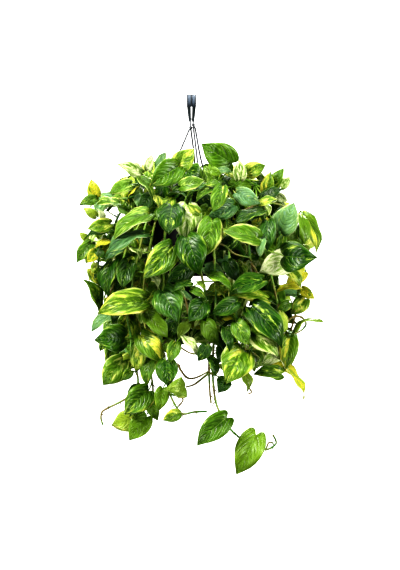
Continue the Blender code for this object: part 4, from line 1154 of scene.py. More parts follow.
class Nodes:
    """Builds one node tree: an input is given a Value to link or a plain value."""

    def __init__(self, tree):
        self.tree = tree

    def feed(self, socket, value):
        if isinstance(value, Value):
            self.tree.links.new(value.socket, socket)
        else:
            socket.default_value = value

    def add(self, kind, inputs=None, **settings):
        """A new node; its inputs are given by name or by number."""
        node = self.tree.nodes.new(kind)
        for name, value in settings.items():
            setattr(node, name, value)
        sockets = {}
        for socket in node.inputs:
            if socket.enabled:
                sockets.setdefault(socket.name, socket)
        for name, value in (inputs or {}).items():
            self.feed(node.inputs[name] if isinstance(name, int) else sockets[name], value)
        return node

    def value(self, kind, inputs=None, output=0, **settings):
        """One output, the first unless another is named, of a new node."""
        return Value(self, self.add(kind, inputs, **settings).outputs[output])

    def math(self, operation, *values, clamp=False):
        return self.value("ShaderNodeMath", dict(enumerate(values)), operation=operation, use_clamp=clamp)

    def vector(self, operation, *values):
        return self.value("ShaderNodeVectorMath", dict(enumerate(values)), operation=operation)

    def scaled(self, vector, factor):
        return self.value("ShaderNodeVectorMath", {"Vector": vector, "Scale": factor}, operation="SCALE")

    def combine(self, x, y, z):
        return self.value("ShaderNodeCombineXYZ", {"X": x, "Y": y, "Z": z})

    def separate(self, vector):
        return [Value(self, part) for part in self.add("ShaderNodeSeparateXYZ", {"Vector": vector}).outputs]

    def ramp(self, value, low, high, smooth=True):
        """The value from low to high mapped to 0 to 1, and held beyond."""
        return self.value("ShaderNodeMapRange", {"Value": value, "From Min": low, "From Max": high},
                          interpolation_type="SMOOTHSTEP" if smooth else "LINEAR")

    def mix(self, factor, first, second):
        """The first colour at 0, the second at 1."""
        return self.value("ShaderNodeMix", {0: factor, 6: first, 7: second}, 2, data_type="RGBA")

    def noise(self, vector, scale, detail=2.0, roughness=0.5, distortion=0.0):
        inputs = {"Vector": vector, "Scale": scale, "Detail": detail, "Roughness": roughness,
                  "Distortion": distortion}
        return self.value("ShaderNodeTexNoise", inputs)

    def bump(self, height, strength, distance):
        return self.value("ShaderNodeBump", {"Height": height, "Strength": strength, "Distance": distance})

    def here(self):
        """The shaded point, as the object sees it."""
        return self.value("ShaderNodeTexCoord", output="Object")

    def attribute(self, name):
        """The three parts of an attribute that the mesh carries, in a shader."""
        vector = self.value("ShaderNodeAttribute", output="Vector", attribute_name=name,
                            attribute_type="GEOMETRY")
        return self.separate(vector)

    def named(self, name, kind="FLOAT_VECTOR"):
        """An attribute of the geometry, in a Geometry Nodes tree."""
        return self.value("GeometryNodeInputNamedAttribute", {"Name": name}, data_type=kind)


def new_material(name):
    """A Principled material: its nodes, its shader and itself."""
    material = bpy.data.materials.new(name)
    material.use_nodes = True
    return material, Nodes(material.node_tree), material.node_tree.nodes["Principled BSDF"]


def finish_of(nodes, shader, constants, **driven):
    """Sets a shader's plain values and links its driven ones."""
    for name, value in constants.items():
        nodes.feed(shader.inputs[name], value)
    for name, value in driven.items():
        nodes.feed(shader.inputs[name.replace("_", " ")], value)


class BladePlace:
    """Where a shaded point lies on its leaf, and noise that follows the leaf's veins."""

    def __init__(self, nodes):
        self.nodes = nodes
        across, self.down, _ = nodes.attribute("blade")
        self.edge, seed, _ = nodes.attribute("trim")
        self.off = abs(across)
        self.side = nodes.math("SIGN", across)
        # How far along the midrib the point's lateral vein starts: the veins arch to the tip
        self.vein = self.down - self.off * self.off.times(0.32, 0.30)
        self.half = self.side * 5.0
        self.shift = seed * 37.0

    def noise(self, along, out, detail, roughness, distortion=0.0, shift=0.0):
        place = self.nodes.combine(self.vein * along, self.off.times(out, self.half), self.shift + shift)
        return self.nodes.noise(place, 1.0, detail, roughness, distortion)


def leaf_face_material():
    """The waxy upper face: veins, a light midrib, yellow streaks that follow the veins, and a painted sheen
    with painted highlights.
    """
    material, nodes, shader = new_material("pothos_leaf_face")
    place = BladePlace(nodes)
    down, off = place.down, place.off
    tone, yellow, cream = nodes.attribute("tint")
    # silver is how much painted sky reflection the blade takes
    silver, lime, lean = nodes.attribute("sheen_and_marks")

    # Where the leaf is yellow: full, its green halo, and fine flecks
    streaks = place.noise(4.8, 2.8, 5.0, 0.70, 0.70)
    blotches = place.noise(2.4, 1.5, 1.0, 0.5, shift=9.0)
    margin = nodes.ramp(off, 0.66, 1.0) * (place.edge * 0.14)
    pattern = streaks * 0.56 + blotches * 0.44 + lean * place.side * 0.06 + margin
    beyond = pattern - (0.70 - yellow * 0.35)
    halo = nodes.ramp(beyond, -0.06, 0.0)
    speckle = place.noise(26.0, 3.0, 2.0, 0.5, shift=4.0)
    flecks = nodes.ramp(speckle, 0.56, 0.68) * yellow.times(1.2, 0.10, clamp=True)
    full = nodes.ramp(beyond, 0.0, 0.05) * nodes.ramp(speckle, 0.40, 0.49)

    # The green: mottled, lighter towards the margin, with a painted highlight on the crests between the veins
    # and painted shade in the vein grooves
    mottle = place.noise(5.6, 2.8, 4.0, 0.68)
    wave = nodes.math("COSINE", place.vein.times(2 * math.pi * LATERAL_VEINS, blotches * 3.0))
    crest = wave.times(0.5, 0.5) ** 2.0
    groove = wave.times(-0.5, 0.5) ** 4.0 * nodes.ramp(off, 1.0, 0.7)
    level = tone + (mottle - 0.5) * 1.15 + (crest - groove) * 0.05 + (off - 0.25) * 0.22
    green = nodes.mix(nodes.ramp(level, -0.05, 0.32, smooth=False), DEEP_GREEN, DARK_GREEN)
    green = nodes.mix(nodes.ramp(level, 0.28, 0.60, smooth=False), green, MID_GREEN)
    green = nodes.mix(nodes.ramp(level, 0.56, 1.0, smooth=False), green, FRESH_GREEN)
    green = nodes.mix(lime * 0.85, green, LIME)
    # Painted highlights on the crests between the veins and where the green is light, and a painted
    # reflection of the sky as strong as silver says
    glint = crest.times(0.4, 0.6) * nodes.ramp(mottle, 0.46, 0.70)
    sheen_share = glint * 0.50 + silver ** 3.0 * 0.45
    lit = glint * 0.22 * nodes.ramp(level, 0.30, 0.90)
    green = nodes.mix(silver.times(sheen_share, lit), green, PAINTED_SKY_SHEEN)

    paler = nodes.mix(cream, YELLOW_GREEN, CREAM_GREEN)
    colour = nodes.mix(nodes.math("MAXIMUM", halo, flecks), green, paler)
    colour = nodes.mix(full, colour, nodes.mix(cream, YELLOW, CREAM))
    rim = nodes.ramp(off, 0.925, 0.99) * nodes.ramp(blotches, 0.62, 0.40)
    colour = nodes.mix(rim * place.edge.times(0.6, 0.15, clamp=True), colour, PALE_EDGE)
    middle = nodes.ramp(off, 0.035, 0.010) * nodes.ramp(down, 1.0, 0.75)
    colour = nodes.mix(middle * 0.35, colour, MIDRIB)
    relief = groove * -1.0 + middle * -0.6 + mottle * 0.9
    finish_of(nodes, shader, {"Specular IOR Level": 0.36, "IOR": 1.45}, Base_Color=colour,
              Roughness=mottle.times(0.22, 0.23), Normal=nodes.bump(relief, 1.0, 0.0006))
    return material


def leaf_back_material():
    """The paler, duller underside, with its midrib and veins standing proud."""
    material, nodes, shader = new_material("pothos_leaf_back")
    place = BladePlace(nodes)
    tone, yellow, cream = nodes.attribute("tint")
    _, lime, _ = nodes.attribute("sheen_and_marks")
    streaks = place.noise(8.0, 1.3, 5.0, 0.66, 0.25)
    patch = nodes.ramp(streaks - (0.70 - yellow * 0.35), -0.03, 0.05)
    green = nodes.mix(tone, BACK_DARK, BACK_LIGHT)
    green = nodes.mix(lime * 0.7, green, BACK_LIME)
    colour = nodes.mix(patch, green, nodes.mix(cream, BACK_YELLOW, BACK_CREAM))
    middle = nodes.ramp(place.off, 0.07, 0.02)
    colour = nodes.mix(middle * 0.6, colour, BACK_MIDRIB)
    wave = nodes.math("COSINE", place.vein * (2 * math.pi * LATERAL_VEINS))
    ridge = nodes.ramp(wave, -0.7, -1.0) + middle * 2.0
    finish_of(nodes, shader, {"Specular IOR Level": 0.35}, Base_Color=colour,
              Roughness=streaks.times(0.2, 0.42), Normal=nodes.bump(ridge, 0.5, 0.0010))
    return material


def stalk_material():
    """Stems and stalks: green, yellower and browner in places, with fine flecks that are bumped a little."""
    material, nodes, shader = new_material("pothos_stem_skin")
    place = nodes.here()
    patches = nodes.noise(place, 22.0, 3.0, 0.6)
    flecks = nodes.noise(place, 260.0, 3.0, 0.6)
    age, _, _ = nodes.attribute("skin")
    green = nodes.mix(nodes.ramp(patches, 0.35, 0.65), STALK_DARK, STALK_LIGHT)
    colour = nodes.mix(nodes.ramp(patches + age * 0.35, 0.62, 0.86), green, STALK_BROWN)
    colour = nodes.mix(nodes.ramp(flecks, 0.55, 0.75) * 0.45, colour, STALK_FLECK)
    finish_of(nodes, shader, {"Specular IOR Level": 0.45}, Base_Color=colour,
              Roughness=flecks.times(0.25, 0.32), Normal=nodes.bump(flecks, 0.35, 0.0006))
    return material


def plastic_material(name, colours, roughness, shine):
    """Moulded black plastic with a fine grain and faint streaks from the moulding, their lighter tone a
    painted sheen.
    """
    material, nodes, shader = new_material(name)
    place = nodes.here()
    grain = nodes.noise(place, 900.0, 2.0, 0.5)
    stretched = nodes.value("ShaderNodeMapping", {"Vector": place, "Scale": (60.0, 60.0, 9.0)})
    streaks_and_sheen = nodes.noise(stretched, 1.0, 3.0, 0.55)
    # The lighter tone along the streaks is a painted sheen
    colour = nodes.mix(nodes.ramp(streaks_and_sheen, 0.35, 0.75), *colours)
    finish_of(nodes, shader, {"Specular IOR Level": shine}, Base_Color=colour,
              Roughness=streaks_and_sheen.times(0.22, roughness), Normal=nodes.bump(grain, 0.25, 0.0004))
    return material


def strap_material():
    """The hanger's strap: dark ribs, with a painted sky reflection between them that fades to dark towards
    the legs.
    """
    material, nodes, shader = new_material("hanger_strap_plastic")
    place = nodes.here()
    x, _, z = nodes.separate(place)
    # Painted reflection of the sky between the ribs, fading downwards
    channel = nodes.ramp(abs(x), 0.0010, 0.0030) * nodes.ramp(abs(x), 0.0098, 0.0078)
    channel = channel * nodes.ramp(z, -0.027, -0.010)
    grain = nodes.noise(place, 700.0, 3.0, 0.55)
    colour = nodes.mix(channel, STRAP_RIB, nodes.mix(grain, *STRAP_PAINTED_SHEEN))
    finish_of(nodes, shader, {"Specular IOR Level": 0.36}, Base_Color=colour,
              Roughness=grain.times(0.2, 0.22), Normal=nodes.bump(grain, 0.25, 0.0004))
    return material


def soil_material(name, colours, scale):
    """Damp potting mix: fine crumbs and paler fibres."""
    material, nodes, shader = new_material(name)
    place = nodes.here()
    crumbs = nodes.noise(place, scale, 6.0, 0.7)
    cells = nodes.value("ShaderNodeTexVoronoi", {"Vector": place, "Scale": scale * 1.6}, "Distance")
    colour = nodes.mix(nodes.ramp(crumbs, 0.38, 0.68), *colours)
    finish_of(nodes, shader, {"Specular IOR Level": 0.25}, Base_Color=colour,
              Roughness=crumbs.times(0.3, 0.68), Normal=nodes.bump(crumbs + cells, 0.8, 0.002))
    return material


def new_tree(name, **inputs):
    """A Geometry Nodes tree with named inputs after its geometry, its nodes and what it is given."""
    tree = bpy.data.node_groups.new(name, "GeometryNodeTree")
    tree.interface.new_socket(name="Geometry", in_out="INPUT", socket_type="NodeSocketGeometry")
    for key, kind in inputs.items():
        tree.interface.new_socket(name=key, in_out="INPUT", socket_type=f"NodeSocket{kind}")
    tree.interface.new_socket(name="Geometry", in_out="OUTPUT", socket_type="NodeSocketGeometry")
    nodes = Nodes(tree)
    outputs = nodes.add("NodeGroupInput").outputs
    return nodes, {key: Value(nodes, outputs[key]) for key in ("Geometry", *inputs)}


def ends_in(nodes, geometry, material):
    """Closes a tree with Realize Instances and Set Material."""
    real = nodes.value("GeometryNodeRealizeInstances", {"Geometry": geometry})
    painted = nodes.value("GeometryNodeSetMaterial", {"Geometry": real, "Material": material})
    nodes.add("NodeGroupOutput", {"Geometry": painted})
    return nodes.tree


def blade_tree():
    """Heart-shaped blades: one grid on every point, bent to each leaf's size, arch, fold and waves."""
    nodes, given = new_tree("leaf_blades", columns="Int", rows="Int", lobe="Float", material="Material")
    grid = nodes.value("GeometryNodeMeshGrid",
                       {"Size X": 2.0, "Size Y": 1.0, "Vertices X": given["columns"] + 1.0,
                        "Vertices Y": given["rows"] + 1.0}, "Mesh")
    place = nodes.vector("ADD", nodes.value("GeometryNodeInputPosition"), (0.0, 0.5, 0.0))
    grid = nodes.value("GeometryNodeStoreNamedAttribute", {"Geometry": grid, "Name": "blade", "Value": place},
                       data_type="FLOAT_VECTOR")
    leaves = nodes.value("GeometryNodeInstanceOnPoints", {"Points": given["Geometry"], "Instance": grid})
    leaves = nodes.value("GeometryNodeRealizeInstances", {"Geometry": leaves})

    across, down, _ = nodes.separate(nodes.named("blade"))
    length, width, arch = nodes.separate(nodes.named("size"))
    fold, wave, droop = nodes.separate(nodes.named("bend"))
    _, seed, curl = nodes.separate(nodes.named("trim"))
    off = abs(across)
    profile = nodes.add("ShaderNodeFloatCurve", {"Value": down})
    curve = profile.mapping.curves[0]
    curve.points[0].location, curve.points[1].location = HALF_WIDTH[:2]
    for x, y in HALF_WIDTH[2:]:
        curve.points.new(x, y)
    profile.mapping.update()
    lateral = across * (Value(nodes, profile.outputs[0]) * HALF_SHARE)
    back = nodes.math("SINE", off * math.pi) ** 0.75 * (1.0 - down) ** 3.0
    part = down - back * given["lobe"]
    aside = abs(lateral)
    late = nodes.math("MAXIMUM", down - 0.6, 0.0) ** 2.0
    phase = down.times(9.5, seed.times(40.0, across * 1.4))
    twist = nodes.math("SINE", seed * 70.0) * TWIST
    rise = part * (1.0 - part) * 4.0 * arch * length
    rise = rise + fold * width * (aside * (1.12 - aside * 0.55))
    rise = rise + nodes.math("SINE", phase) * off ** 2.0 * wave * width
    rise = rise - late * droop * length
    rise = rise - off ** 3.0 * curl * width
    rise = rise + lateral * (part - 0.3) * twist * width
    sway = nodes.math("SINE", seed * 90.0) * late
    lateral = lateral * width + sway * 0.30 * length
    spot = nodes.named("base")
    for direction, distance in (("along", part * length), ("side", lateral), ("normal", rise)):
        spot = nodes.vector("ADD", spot, nodes.scaled(nodes.named(direction), distance))
    leaves = nodes.value("GeometryNodeSetPosition", {"Geometry": leaves, "Position": spot})
    leaves = nodes.value("GeometryNodeMergeByDistance", {"Geometry": leaves, "Distance": 0.00001})
    leaves = nodes.value("GeometryNodeFlipFaces", {"Mesh": leaves})
    leaves = nodes.value("GeometryNodeSetShadeSmooth", {"Geometry": leaves})
    return ends_in(nodes, leaves, given["material"])


def stalk_tree():
    """Round stalks along every line of a mesh, each as thick as its points say, swollen at its nodes."""
    nodes, given = new_tree("round_stalks", sides="Int", node_spacing="Float", swelling="Float",
                            material="Material")
    lines = nodes.value("GeometryNodeMeshToCurve", {"Mesh": given["Geometry"]})
    ring = nodes.value("GeometryNodeCurvePrimitiveCircle", {"Resolution": given["sides"], "Radius": 1.0})
    way = nodes.value("GeometryNodeSplineParameter", output="Length")
    turn = way / given["node_spacing"] * (2 * math.pi)
    knot = nodes.math("MAXIMUM", nodes.math("COSINE", turn), 0.0) ** 14.0
    swollen = nodes.named("thick", "FLOAT") * knot.times(given["swelling"], 1.0)
    tubes = nodes.value("GeometryNodeCurveToMesh", {"Curve": lines, "Profile Curve": ring, "Scale": swollen,
                                                    "Fill Caps": True})
    tubes = nodes.value("GeometryNodeSetShadeSmooth", {"Geometry": tubes})
    return ends_in(nodes, tubes, given["material"])


def grain_tree():
    """Loose grains scattered on the upward faces of a mesh, of random turn and size."""
    nodes, given = new_tree("soil_grains", density="Float", size="Float", flatness="Float", seed="Int",
                            material="Material")
    upward = nodes.separate(nodes.value("GeometryNodeInputNormal"))[2]
    points = nodes.value("GeometryNodeDistributePointsOnFaces",
                         {"Mesh": given["Geometry"], "Selection": nodes.math("GREATER_THAN", upward, 0.7),
                          "Density": given["density"], "Seed": given["seed"]}, "Points")
    grain = nodes.value("GeometryNodeMeshIcoSphere", {"Radius": 1.0, "Subdivisions": 1}, "Mesh")
    turn = nodes.value("FunctionNodeRandomValue", {0: (0.0, 0.0, 0.0), 1: (6.283, 6.283, 6.283), "Seed": 3},
                       data_type="FLOAT_VECTOR")
    scale = nodes.value("FunctionNodeRandomValue", {2: 0.5, 3: 1.3, "Seed": 4}, 1, data_type="FLOAT")
    size = scale * given["size"]
    box = nodes.combine(size, size * 0.7, size * given["flatness"])
    grains = nodes.value("GeometryNodeInstanceOnPoints", {"Points": points, "Instance": grain,
                                                          "Rotation": turn, "Scale": box})
    return ends_in(nodes, grains, given["material"])


def new_piece(name, mesh, *materials):
    piece = bpy.data.objects.new(name, mesh)
    bpy.context.scene.collection.objects.link(piece)
    for material in materials:
        mesh.materials.append(material)
    return piece


def plain(piece):
    """The piece with its modifiers applied and its place in its mesh."""
    bpy.context.view_layer.update()
    graph = bpy.context.evaluated_depsgraph_get()
    mesh = bpy.data.meshes.new_from_object(piece.evaluated_get(graph))
    mesh.transform(piece.matrix_world)
    name = piece.name
    bpy.data.objects.remove(piece)
    mesh.name = name
    return new_piece(name, mesh)


def modified(piece, kind, **settings):
    """The piece with a modifier added and applied."""
    modifier = piece.modifiers.new(kind.title(), kind)
    for name, value in settings.items():
        setattr(modifier, name, value)
    return plain(piece)


def grown(piece, tree, **inputs):
    """A plain mesh of what a Geometry Nodes tree makes from a piece's mesh."""
    modifier = piece.modifiers.new("Form", "NODES")
    modifier.node_group = tree
    for item in tree.interface.items_tree:
        if item.in_out == "INPUT" and item.name in inputs:
            modifier[item.identifier] = inputs[item.name]
    return plain(piece)


def smoothed(piece, degrees):
    """Rounded shading, but for edges sharper than an angle."""
    piece.data.polygons.foreach_set("use_smooth", [True] * len(piece.data.polygons))
    piece.data.set_sharp_from_angle(angle=math.radians(degrees))
    return piece


def with_attributes(name, points, edges, values):
    """A mesh of points and edges that carries named values for a tree to read."""
    mesh = bpy.data.meshes.new(name)
    mesh.from_pydata(points, edges, [])
    for key, rows in values.items():
        if isinstance(rows[0], float):
            mesh.attributes.new(key, "FLOAT", "POINT").data.foreach_set("value", rows)
        else:
            flat = [number for row in rows for number in row]
            mesh.attributes.new(key, "FLOAT_VECTOR", "POINT").data.foreach_set("vector", flat)
    return new_piece(name, mesh)


def line_edges(first, count):
    """The edges that join points in a row."""
    return [(i, i + 1) for i in range(first, first + count - 1)]


def turned(name, profile, steps, material):
    """A solid of revolution about the pot's axis, from its profile, top to bottom along the inside first."""
    mesh = bpy.data.meshes.new(name)
    mesh.from_pydata([(r, 0, z) for r, z in profile], line_edges(0, len(profile)), [])
    return modified(new_piece(name, mesh, material), "SCREW", steps=steps, render_steps=steps,
                    use_merge_vertices=True, merge_threshold=0.00001)


def joined_meshes(name, pieces):
    """One mesh piece of several."""
    shape = bmesh.new()
    materials = []
    for piece in pieces:
        first = len(shape.faces)
        shape.from_mesh(piece.data)
        shape.faces.ensure_lookup_table()
        for face in shape.faces[first:]:
            material = piece.data.materials[face.material_index]
            if material not in materials:
                materials.append(material)
            face.material_index = materials.index(material)
    mesh = bpy.data.meshes.new(name)
    shape.to_mesh(mesh)
    shape.free()
    for piece in pieces:
        bpy.data.objects.remove(piece)
    return new_piece(name, mesh, *materials)


def make_blades(name, leaves, tree, face, back, rng):
    """The leaf blades of one vine."""
    values = {key: [] for key in ("base", "along", "side", "normal", "size", "bend", "tint", "sheen_and_marks", "trim")}
    for leaf, _, look in leaves:
        length = (leaf.tip - leaf.base).length
        along = (leaf.tip - leaf.base) / length
        seed = rng.random()
        tone, yellow, cream, silver, lime, lean, edge = LOOKS[look or rng.choice(COMMON_LOOKS)]
        values["base"].append(leaf.base)
        values["along"].append(along)
        values["side"].append(leaf.normal.cross(along))
        values["normal"].append(leaf.normal)
        values["size"].append((length, leaf.width, leaf.arch))
        values["bend"].append((leaf.fold, rng.uniform(*WAVE), rng.uniform(*DROOP)))
        values["tint"].append((tone + rng.uniform(*TONE_SPREAD), yellow, cream))
        values["sheen_and_marks"].append((silver, lime, lean))
        values["trim"].append((edge, seed, rng.uniform(*CURL)))
    points = with_attributes(name, values["base"], [], values)
    blades = grown(points, tree, columns=BLADE_GRID, rows=BLADE_GRID, lobe=LOBE, material=face)
    blades.data.materials.append(back)
    return modified(blades, "SOLIDIFY", thickness=LEAF_THICK, offset=0, material_offset=1)


def petiole_curve(leaf, petiole):
    """A petiole's smooth course from the stem to the blade, and on along the rib's first part."""
    reach = leaf.tip - leaf.base
    rise = leaf.arch * reach.length * 4 * RIB_SHARE * (1 - RIB_SHARE)
    rib = leaf.base + reach * RIB_SHARE + leaf.normal * (rise - RIB_BELOW)
    foot = leaf.base - leaf.normal * FOOT_BELOW
    return smooth_path([petiole.root, petiole.knee, foot], PETIOLE_STEP) + [rib]


def shares(course):
    """How far along a row of points each one stands, 0 to 1."""
    return [i / (len(course) - 1) for i in range(len(course))]


def make_stalks(name, path, leaves, runners, tree, material, rng):
    """A vine's stem, its petioles and its runners."""
    points, edges, thick, skin = [], [], [], []

    def lay(course, radii, age, aging=0.0):
        edges.extend(line_edges(len(points), len(course)))
        points.extend(course)
        thick.extend(radii)
        skin.extend((age + aging * part, 0.0, 0.0) for part in shares(course))

    taper = TIP_RADIUS - STEM_RADIUS + STALK_FLARE
    fine = [path[0]] + smooth_path(path[1:], FINE_STEP)
    lay(fine, [STEM_RADIUS + STALK_SKIN + taper * part ** 3 for part in shares(fine)], *STEM_AGE)
    for number, i in enumerate(range(ROOTS_FROM, len(fine) - 3, ROOTS_EVERY)):
        onward = (fine[i + 1] - fine[i]).normalized()
        out = onward.orthogonal().normalized()
        out.rotate(Quaternion(onward, ROOT_TURN * number))
        lay([fine[i] + out * reach + up(drop) for reach, drop in AERIAL_ROOT], ROOT_RADII, WOODY_AGE)
    for leaf, petiole, _ in leaves:
        course = petiole_curve(leaf, petiole)
        scale = min(1.0, 0.65 + leaf.width / 0.10)
        radii = [scale * (PETIOLE_RADIUS + STALK_SKIN + STALK_FLARE * (1 - part) ** 3 - STALK_FLARE * part)
                 for part in shares(course)[:-1]]
        lay(course, radii + [PETIOLE_END_RADIUS], rng.uniform(*PETIOLE_AGE))
    for radius, hanging in runners:
        root = min(path[2:], key=lambda point: (point - hanging[0]).length)
        course = smooth_path([root, *hanging], FINE_STEP)
        lay(course, [radius * (1 - RUNNER_TAPER * part ** 2) for part in shares(course)], WOODY_AGE)
    piece = with_attributes(name, points, edges, {"thick": thick, "skin": skin})
    return grown(piece, tree, sides=STALK_SIDES, node_spacing=NODE_SPACING, swelling=NODE_SWELLING,
                 material=material)


def make_pot(material):
    """The nursery pot: turned wall, rounded flange, a step below the rim, and its bored holes."""
    inner_top = POT_TOP_RADIUS - POT_WALL
    profile = [
        (0.0, POT_FLOOR_Z + POT_WALL),
        (POT_BASE_RADIUS - POT_WALL - 0.0015, POT_FLOOR_Z + POT_WALL),
        (POT_BASE_RADIUS - POT_WALL, POT_FLOOR_Z + POT_WALL + 0.0015),
        (inner_top - 0.0012, RIM_Z - 0.004),
        (inner_top, RIM_Z - 0.0008),
        (inner_top + 0.0010, RIM_Z),
        (FLANGE_RADIUS - 0.0010, RIM_Z),
        (FLANGE_RADIUS - 0.0003, RIM_Z - 0.0003),
        (FLANGE_RADIUS, RIM_Z - 0.0010),
        (FLANGE_RADIUS, RIM_Z - FLANGE_THICK + 0.0008),
        (FLANGE_RADIUS - 0.0008, RIM_Z - FLANGE_THICK),
        (POT_TOP_RADIUS + 0.0012, RIM_Z - FLANGE_THICK),
        (POT_TOP_RADIUS + 0.0002, RIM_Z - FLANGE_THICK - 0.0010),
        (POT_TOP_RADIUS - POT_SLOPE * 0.018, RIM_Z - 0.018),
        (POT_TOP_RADIUS - POT_SLOPE * 0.0195 - 0.0010, RIM_Z - 0.0195),
        (POT_BASE_RADIUS + POT_SLOPE * 0.012 - 0.0008, POT_FLOOR_Z + 0.012),
        (POT_BASE_RADIUS + POT_SLOPE * 0.010, POT_FLOOR_Z + 0.0105),
        (POT_BASE_RADIUS + 0.0008, POT_FLOOR_Z + 0.0030),
        (POT_BASE_RADIUS - 0.0005, POT_FLOOR_Z + 0.0010),
        (POT_BASE_RADIUS - 0.0022, POT_FLOOR_Z),
        (POT_BASE_RADIUS - 0.0060, POT_FLOOR_Z),
        (POT_BASE_RADIUS - 0.0070, POT_FLOOR_Z + 0.0008),
        (0.0, POT_FLOOR_Z + 0.0008),
    ]
    pot = turned("nursery_pot", profile, POT_STEPS, material)
    bores = bpy.data.collections.new("bores")
    bpy.context.scene.collection.children.link(bores)
    holes = [(polar(STRAND_CIRCLE, bearing, RIM_Z), STRAND_HOLE_RADIUS)
             for bearing in STRAND_BEARINGS.values()]
    holes += [(polar(DRAIN_CIRCLE, 45 + 90 * i, POT_FLOOR_Z), DRAIN_RADIUS) for i in range(4)]
    for i, (place, radius) in enumerate(holes):
        shape = bmesh.new()
        bmesh.ops.create_cone(shape, cap_ends=True, segments=BORE_SIDES, radius1=radius, radius2=radius,
                              depth=BORE_DEPTH)
        bmesh.ops.translate(shape, verts=shape.verts, vec=place)
        mesh = bpy.data.meshes.new(f"bore_{i}")
        shape.to_mesh(mesh)
        shape.free()
        bores.objects.link(bpy.data.objects.new(f"bore_{i}", mesh))
    pot = modified(pot, "BOOLEAN", operation="DIFFERENCE", solver="EXACT", operand_type="COLLECTION",
                   collection=bores)
    for bore in list(bores.objects):
        bpy.data.objects.remove(bore)
    bpy.data.collections.remove(bores)
    return smoothed(pot, SMOOTH_ANGLE)


def make_soil(grains, earth, bark, perlite):
    """The potting mix: an uneven top, with bark and perlite on it."""
    bottom = POT_FLOOR_Z + POT_WALL + GAP
    low = POT_BASE_RADIUS - POT_WALL - 0.0008
    high = low + POT_SLOPE * (SOIL_Z - bottom)
    top = [(high * i / SOIL_RINGS, SOIL_Z) for i in range(SOIL_RINGS + 1)]
    soil = turned("potting_mix", top + [(low, bottom), (0.0, bottom)], SOIL_STEPS, earth)
    rng = random.Random(SOIL_SEED)
    for vertex in soil.data.vertices:
        radius = math.hypot(vertex.co.x, vertex.co.y)
        if vertex.co.z > SOIL_Z - 0.001 and radius < high - 0.001:
            swell = math.sin(vertex.co.x * 95 + 1) * math.cos(vertex.co.y * 80) * SOIL_SWELL
            vertex.co.z += swell + rng.uniform(*SOIL_ROUGHNESS)
    pieces = [soil]
    for name, settings, material in (("bark", BARK_GRAINS, bark), ("perlite", PERLITE_GRAINS, perlite)):
        bed = new_piece(f"bed_{name}", soil.data.copy())
        pieces.append(grown(bed, grains, material=material, **settings))
    return joined_meshes("potting_mix_top", pieces)


def make_hanger(frame, strap, rib):
    """The moulded hook, with its edges rounded: the front of its strap takes the painted sky reflection
    between dark ribs.
    """
    mesh = frame["nodes"]["hanger_hook"].data.copy()
    shape = bmesh.new()
    shape.from_mesh(mesh)
    bmesh.ops.remove_doubles(shape, verts=shape.verts, dist=1e-6)
    bmesh.ops.dissolve_limit(shape, angle_limit=math.radians(1), verts=shape.verts, edges=shape.edges)
    shape.to_mesh(mesh)
    shape.free()
    mesh.materials.clear()
    hook = new_piece("moulded_hanger", mesh, rib, strap)
    front = -HOOK_RADIUS - STRAP_THICK
    for face in mesh.polygons:
        # The strap's front faces take the painted reflection; the rest is the black plastic
        strip = face.center.z > LEG_TOP_Z - 0.003 and front - 0.0004 < face.center.y < 0.0
        face.material_index = 1 if strip else 0
    hook = modified(hook, "BEVEL", width=HOOK_BEVEL, segments=2, limit_method="ANGLE",
                    angle_limit=math.radians(35))
    return smoothed(hook, SMOOTH_ANGLE)


def make_strand(name, path, tree, material):
    """A round strand of the hanger, with the barb that holds it under the rim."""
    x, y, _ = path[-1]
    under = RIM_Z - FLANGE_THICK - 2 * GAP
    fine = smooth_path(path[:-1], FINE_STEP) + [Vector((x, y, under + 0.00005))]
    points = fine + [Vector((x, y, under + height)) for height, _ in BARB]
    thick = [STRAND_RADIUS] * len(fine) + [radius for _, radius in BARB]
    piece = with_attributes(name, points, line_edges(0, len(points)), {"thick": thick})
    strand = grown(piece, tree, sides=STRAND_SIDES, node_spacing=9.0, swelling=0.0, material=material)
    return smoothed(strand, SMOOTH_ANGLE)


def finished(piece, slot, *nodes):
    """A piece on the plant's one body, in place of the nodes it stands for. The slot it is given is not used.
    """
    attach(piece, "root")
    if nodes:
        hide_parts(*nodes)


def area_light(name, place, target, size, power, colour):
    light = bpy.data.lights.new(name, "AREA")
    light.shape = "DISK"
    light.size = size
    light.energy = power
    light.color = colour
    lamp = bpy.data.objects.new(name, light)
    lamp.location = place
    lamp.rotation_euler = (Vector(target) - Vector(place)).to_track_quat("-Z", "Y").to_euler()
    bpy.context.scene.collection.objects.link(lamp)


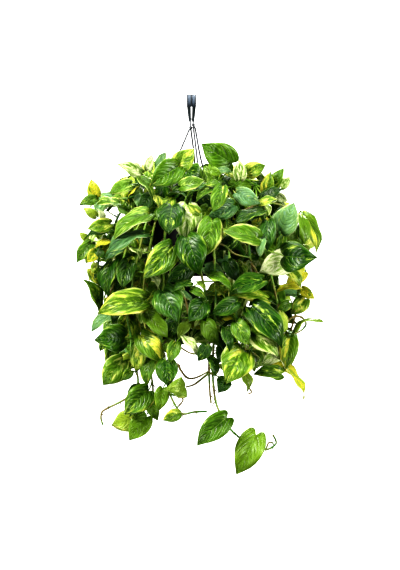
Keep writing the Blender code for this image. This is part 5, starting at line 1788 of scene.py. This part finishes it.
def make_studio():
    """A round pale floor that curves up into a pale wall, soft lights and the camera."""
    scene = bpy.context.scene
    paper, nodes, shader = new_material("studio_paper")
    tone = nodes.mix(nodes.noise(nodes.here(), 3.0, 3.0), *PAPER)
    glow = {"Emission Color": (1, 1, 1, 1), "Emission Strength": STUDIO_GLOW}
    finish_of(nodes, shader, {"Roughness": 0.9, **glow}, Base_Color=tone)
    outline = [(STUDIO_RADIUS * i / 8, FLOOR_Z) for i in range(9)]
    for i in range(1, 9):
        angle = math.pi / 2 * i / 8
        outline.append((STUDIO_RADIUS + STUDIO_BEND * math.sin(angle),
                        FLOOR_Z + STUDIO_BEND * (1 - math.cos(angle))))
    outline.append((STUDIO_RADIUS + STUDIO_BEND, FLOOR_Z + 9.0))
    floor = smoothed(turned("studio_floor", outline, 64, paper), 80)
    floor.visible_diffuse = floor.visible_glossy = False

    world = bpy.data.worlds.new("studio_air")
    scene.world = world
    world.use_nodes = True
    background = world.node_tree.nodes["Background"]
    background.inputs["Color"].default_value = WORLD_COLOUR
    background.inputs["Strength"].default_value = WORLD_LIGHT
    for light in LIGHTS:
        area_light(*light)
    scene.view_settings.view_transform = "Standard"
    scene.view_settings.look = "Very High Contrast"

    lens = bpy.data.cameras.new("camera")
    lens.sensor_fit = "VERTICAL"
    lens.sensor_width = lens.sensor_height = SENSOR_MM
    lens.lens = SENSOR_MM * -EYE.y / (ELEVATION_ROWS * GRID)
    camera = bpy.data.objects.new("camera", lens)
    camera.location = EYE
    camera.rotation_euler = (math.pi / 2, 0, 0)
    scene.collection.objects.link(camera)
    scene.camera = camera


def main():
    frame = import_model()
    stems, leaves = planned_foliage()
    runners = {}
    for vine, radius, out, points in RUNNERS:
        course = [on_view(u, v, out * dome_depth(u, v)) for u, v in points]
        runners.setdefault(vine, []).append((radius, course))
    face, back = leaf_face_material(), leaf_back_material()
    skin = stalk_material()
    blades_tree, stalks_tree, grains = blade_tree(), stalk_tree(), grain_tree()
    rng = random.Random(LOOK_SEED)
    for name, path in stems.items():
        blades = make_blades(f"leaves_{name}", leaves[name], blades_tree, face, back, rng)
        finished(blades, "pothos_foliage", f"vine_{name}")
        vine_runners = runners.get(name, ())
        stalks = make_stalks(f"stalks_{name}", path, leaves[name], vine_runners, stalks_tree, skin, rng)
        finished(stalks, "pothos_foliage")

    pot_plastic = plastic_material("black_pot_plastic", POT_BLACK, 0.36, 0.25)
    hook_plastic = plastic_material("hanger_plastic", HANGER_BLACK, 0.25, 0.5)
    finished(make_pot(pot_plastic), "black_plastic", "pot")
    earth = soil_material("damp_soil", EARTH, 220.0)
    bark = soil_material("bark_chips", BARK, 120.0)
    perlite = soil_material("perlite_grains", PERLITE, 500.0)
    finished(make_soil(grains, earth, bark, perlite), "potting_soil", "soil")
    finished(make_hanger(frame, strap_material(), hook_plastic), "black_plastic", "hanger_hook")
    for name, path in strand_paths().items():
        finished(make_strand(f"round_{name}", path, stalks_tree, hook_plastic), "black_plastic", name)

    make_studio()


main()
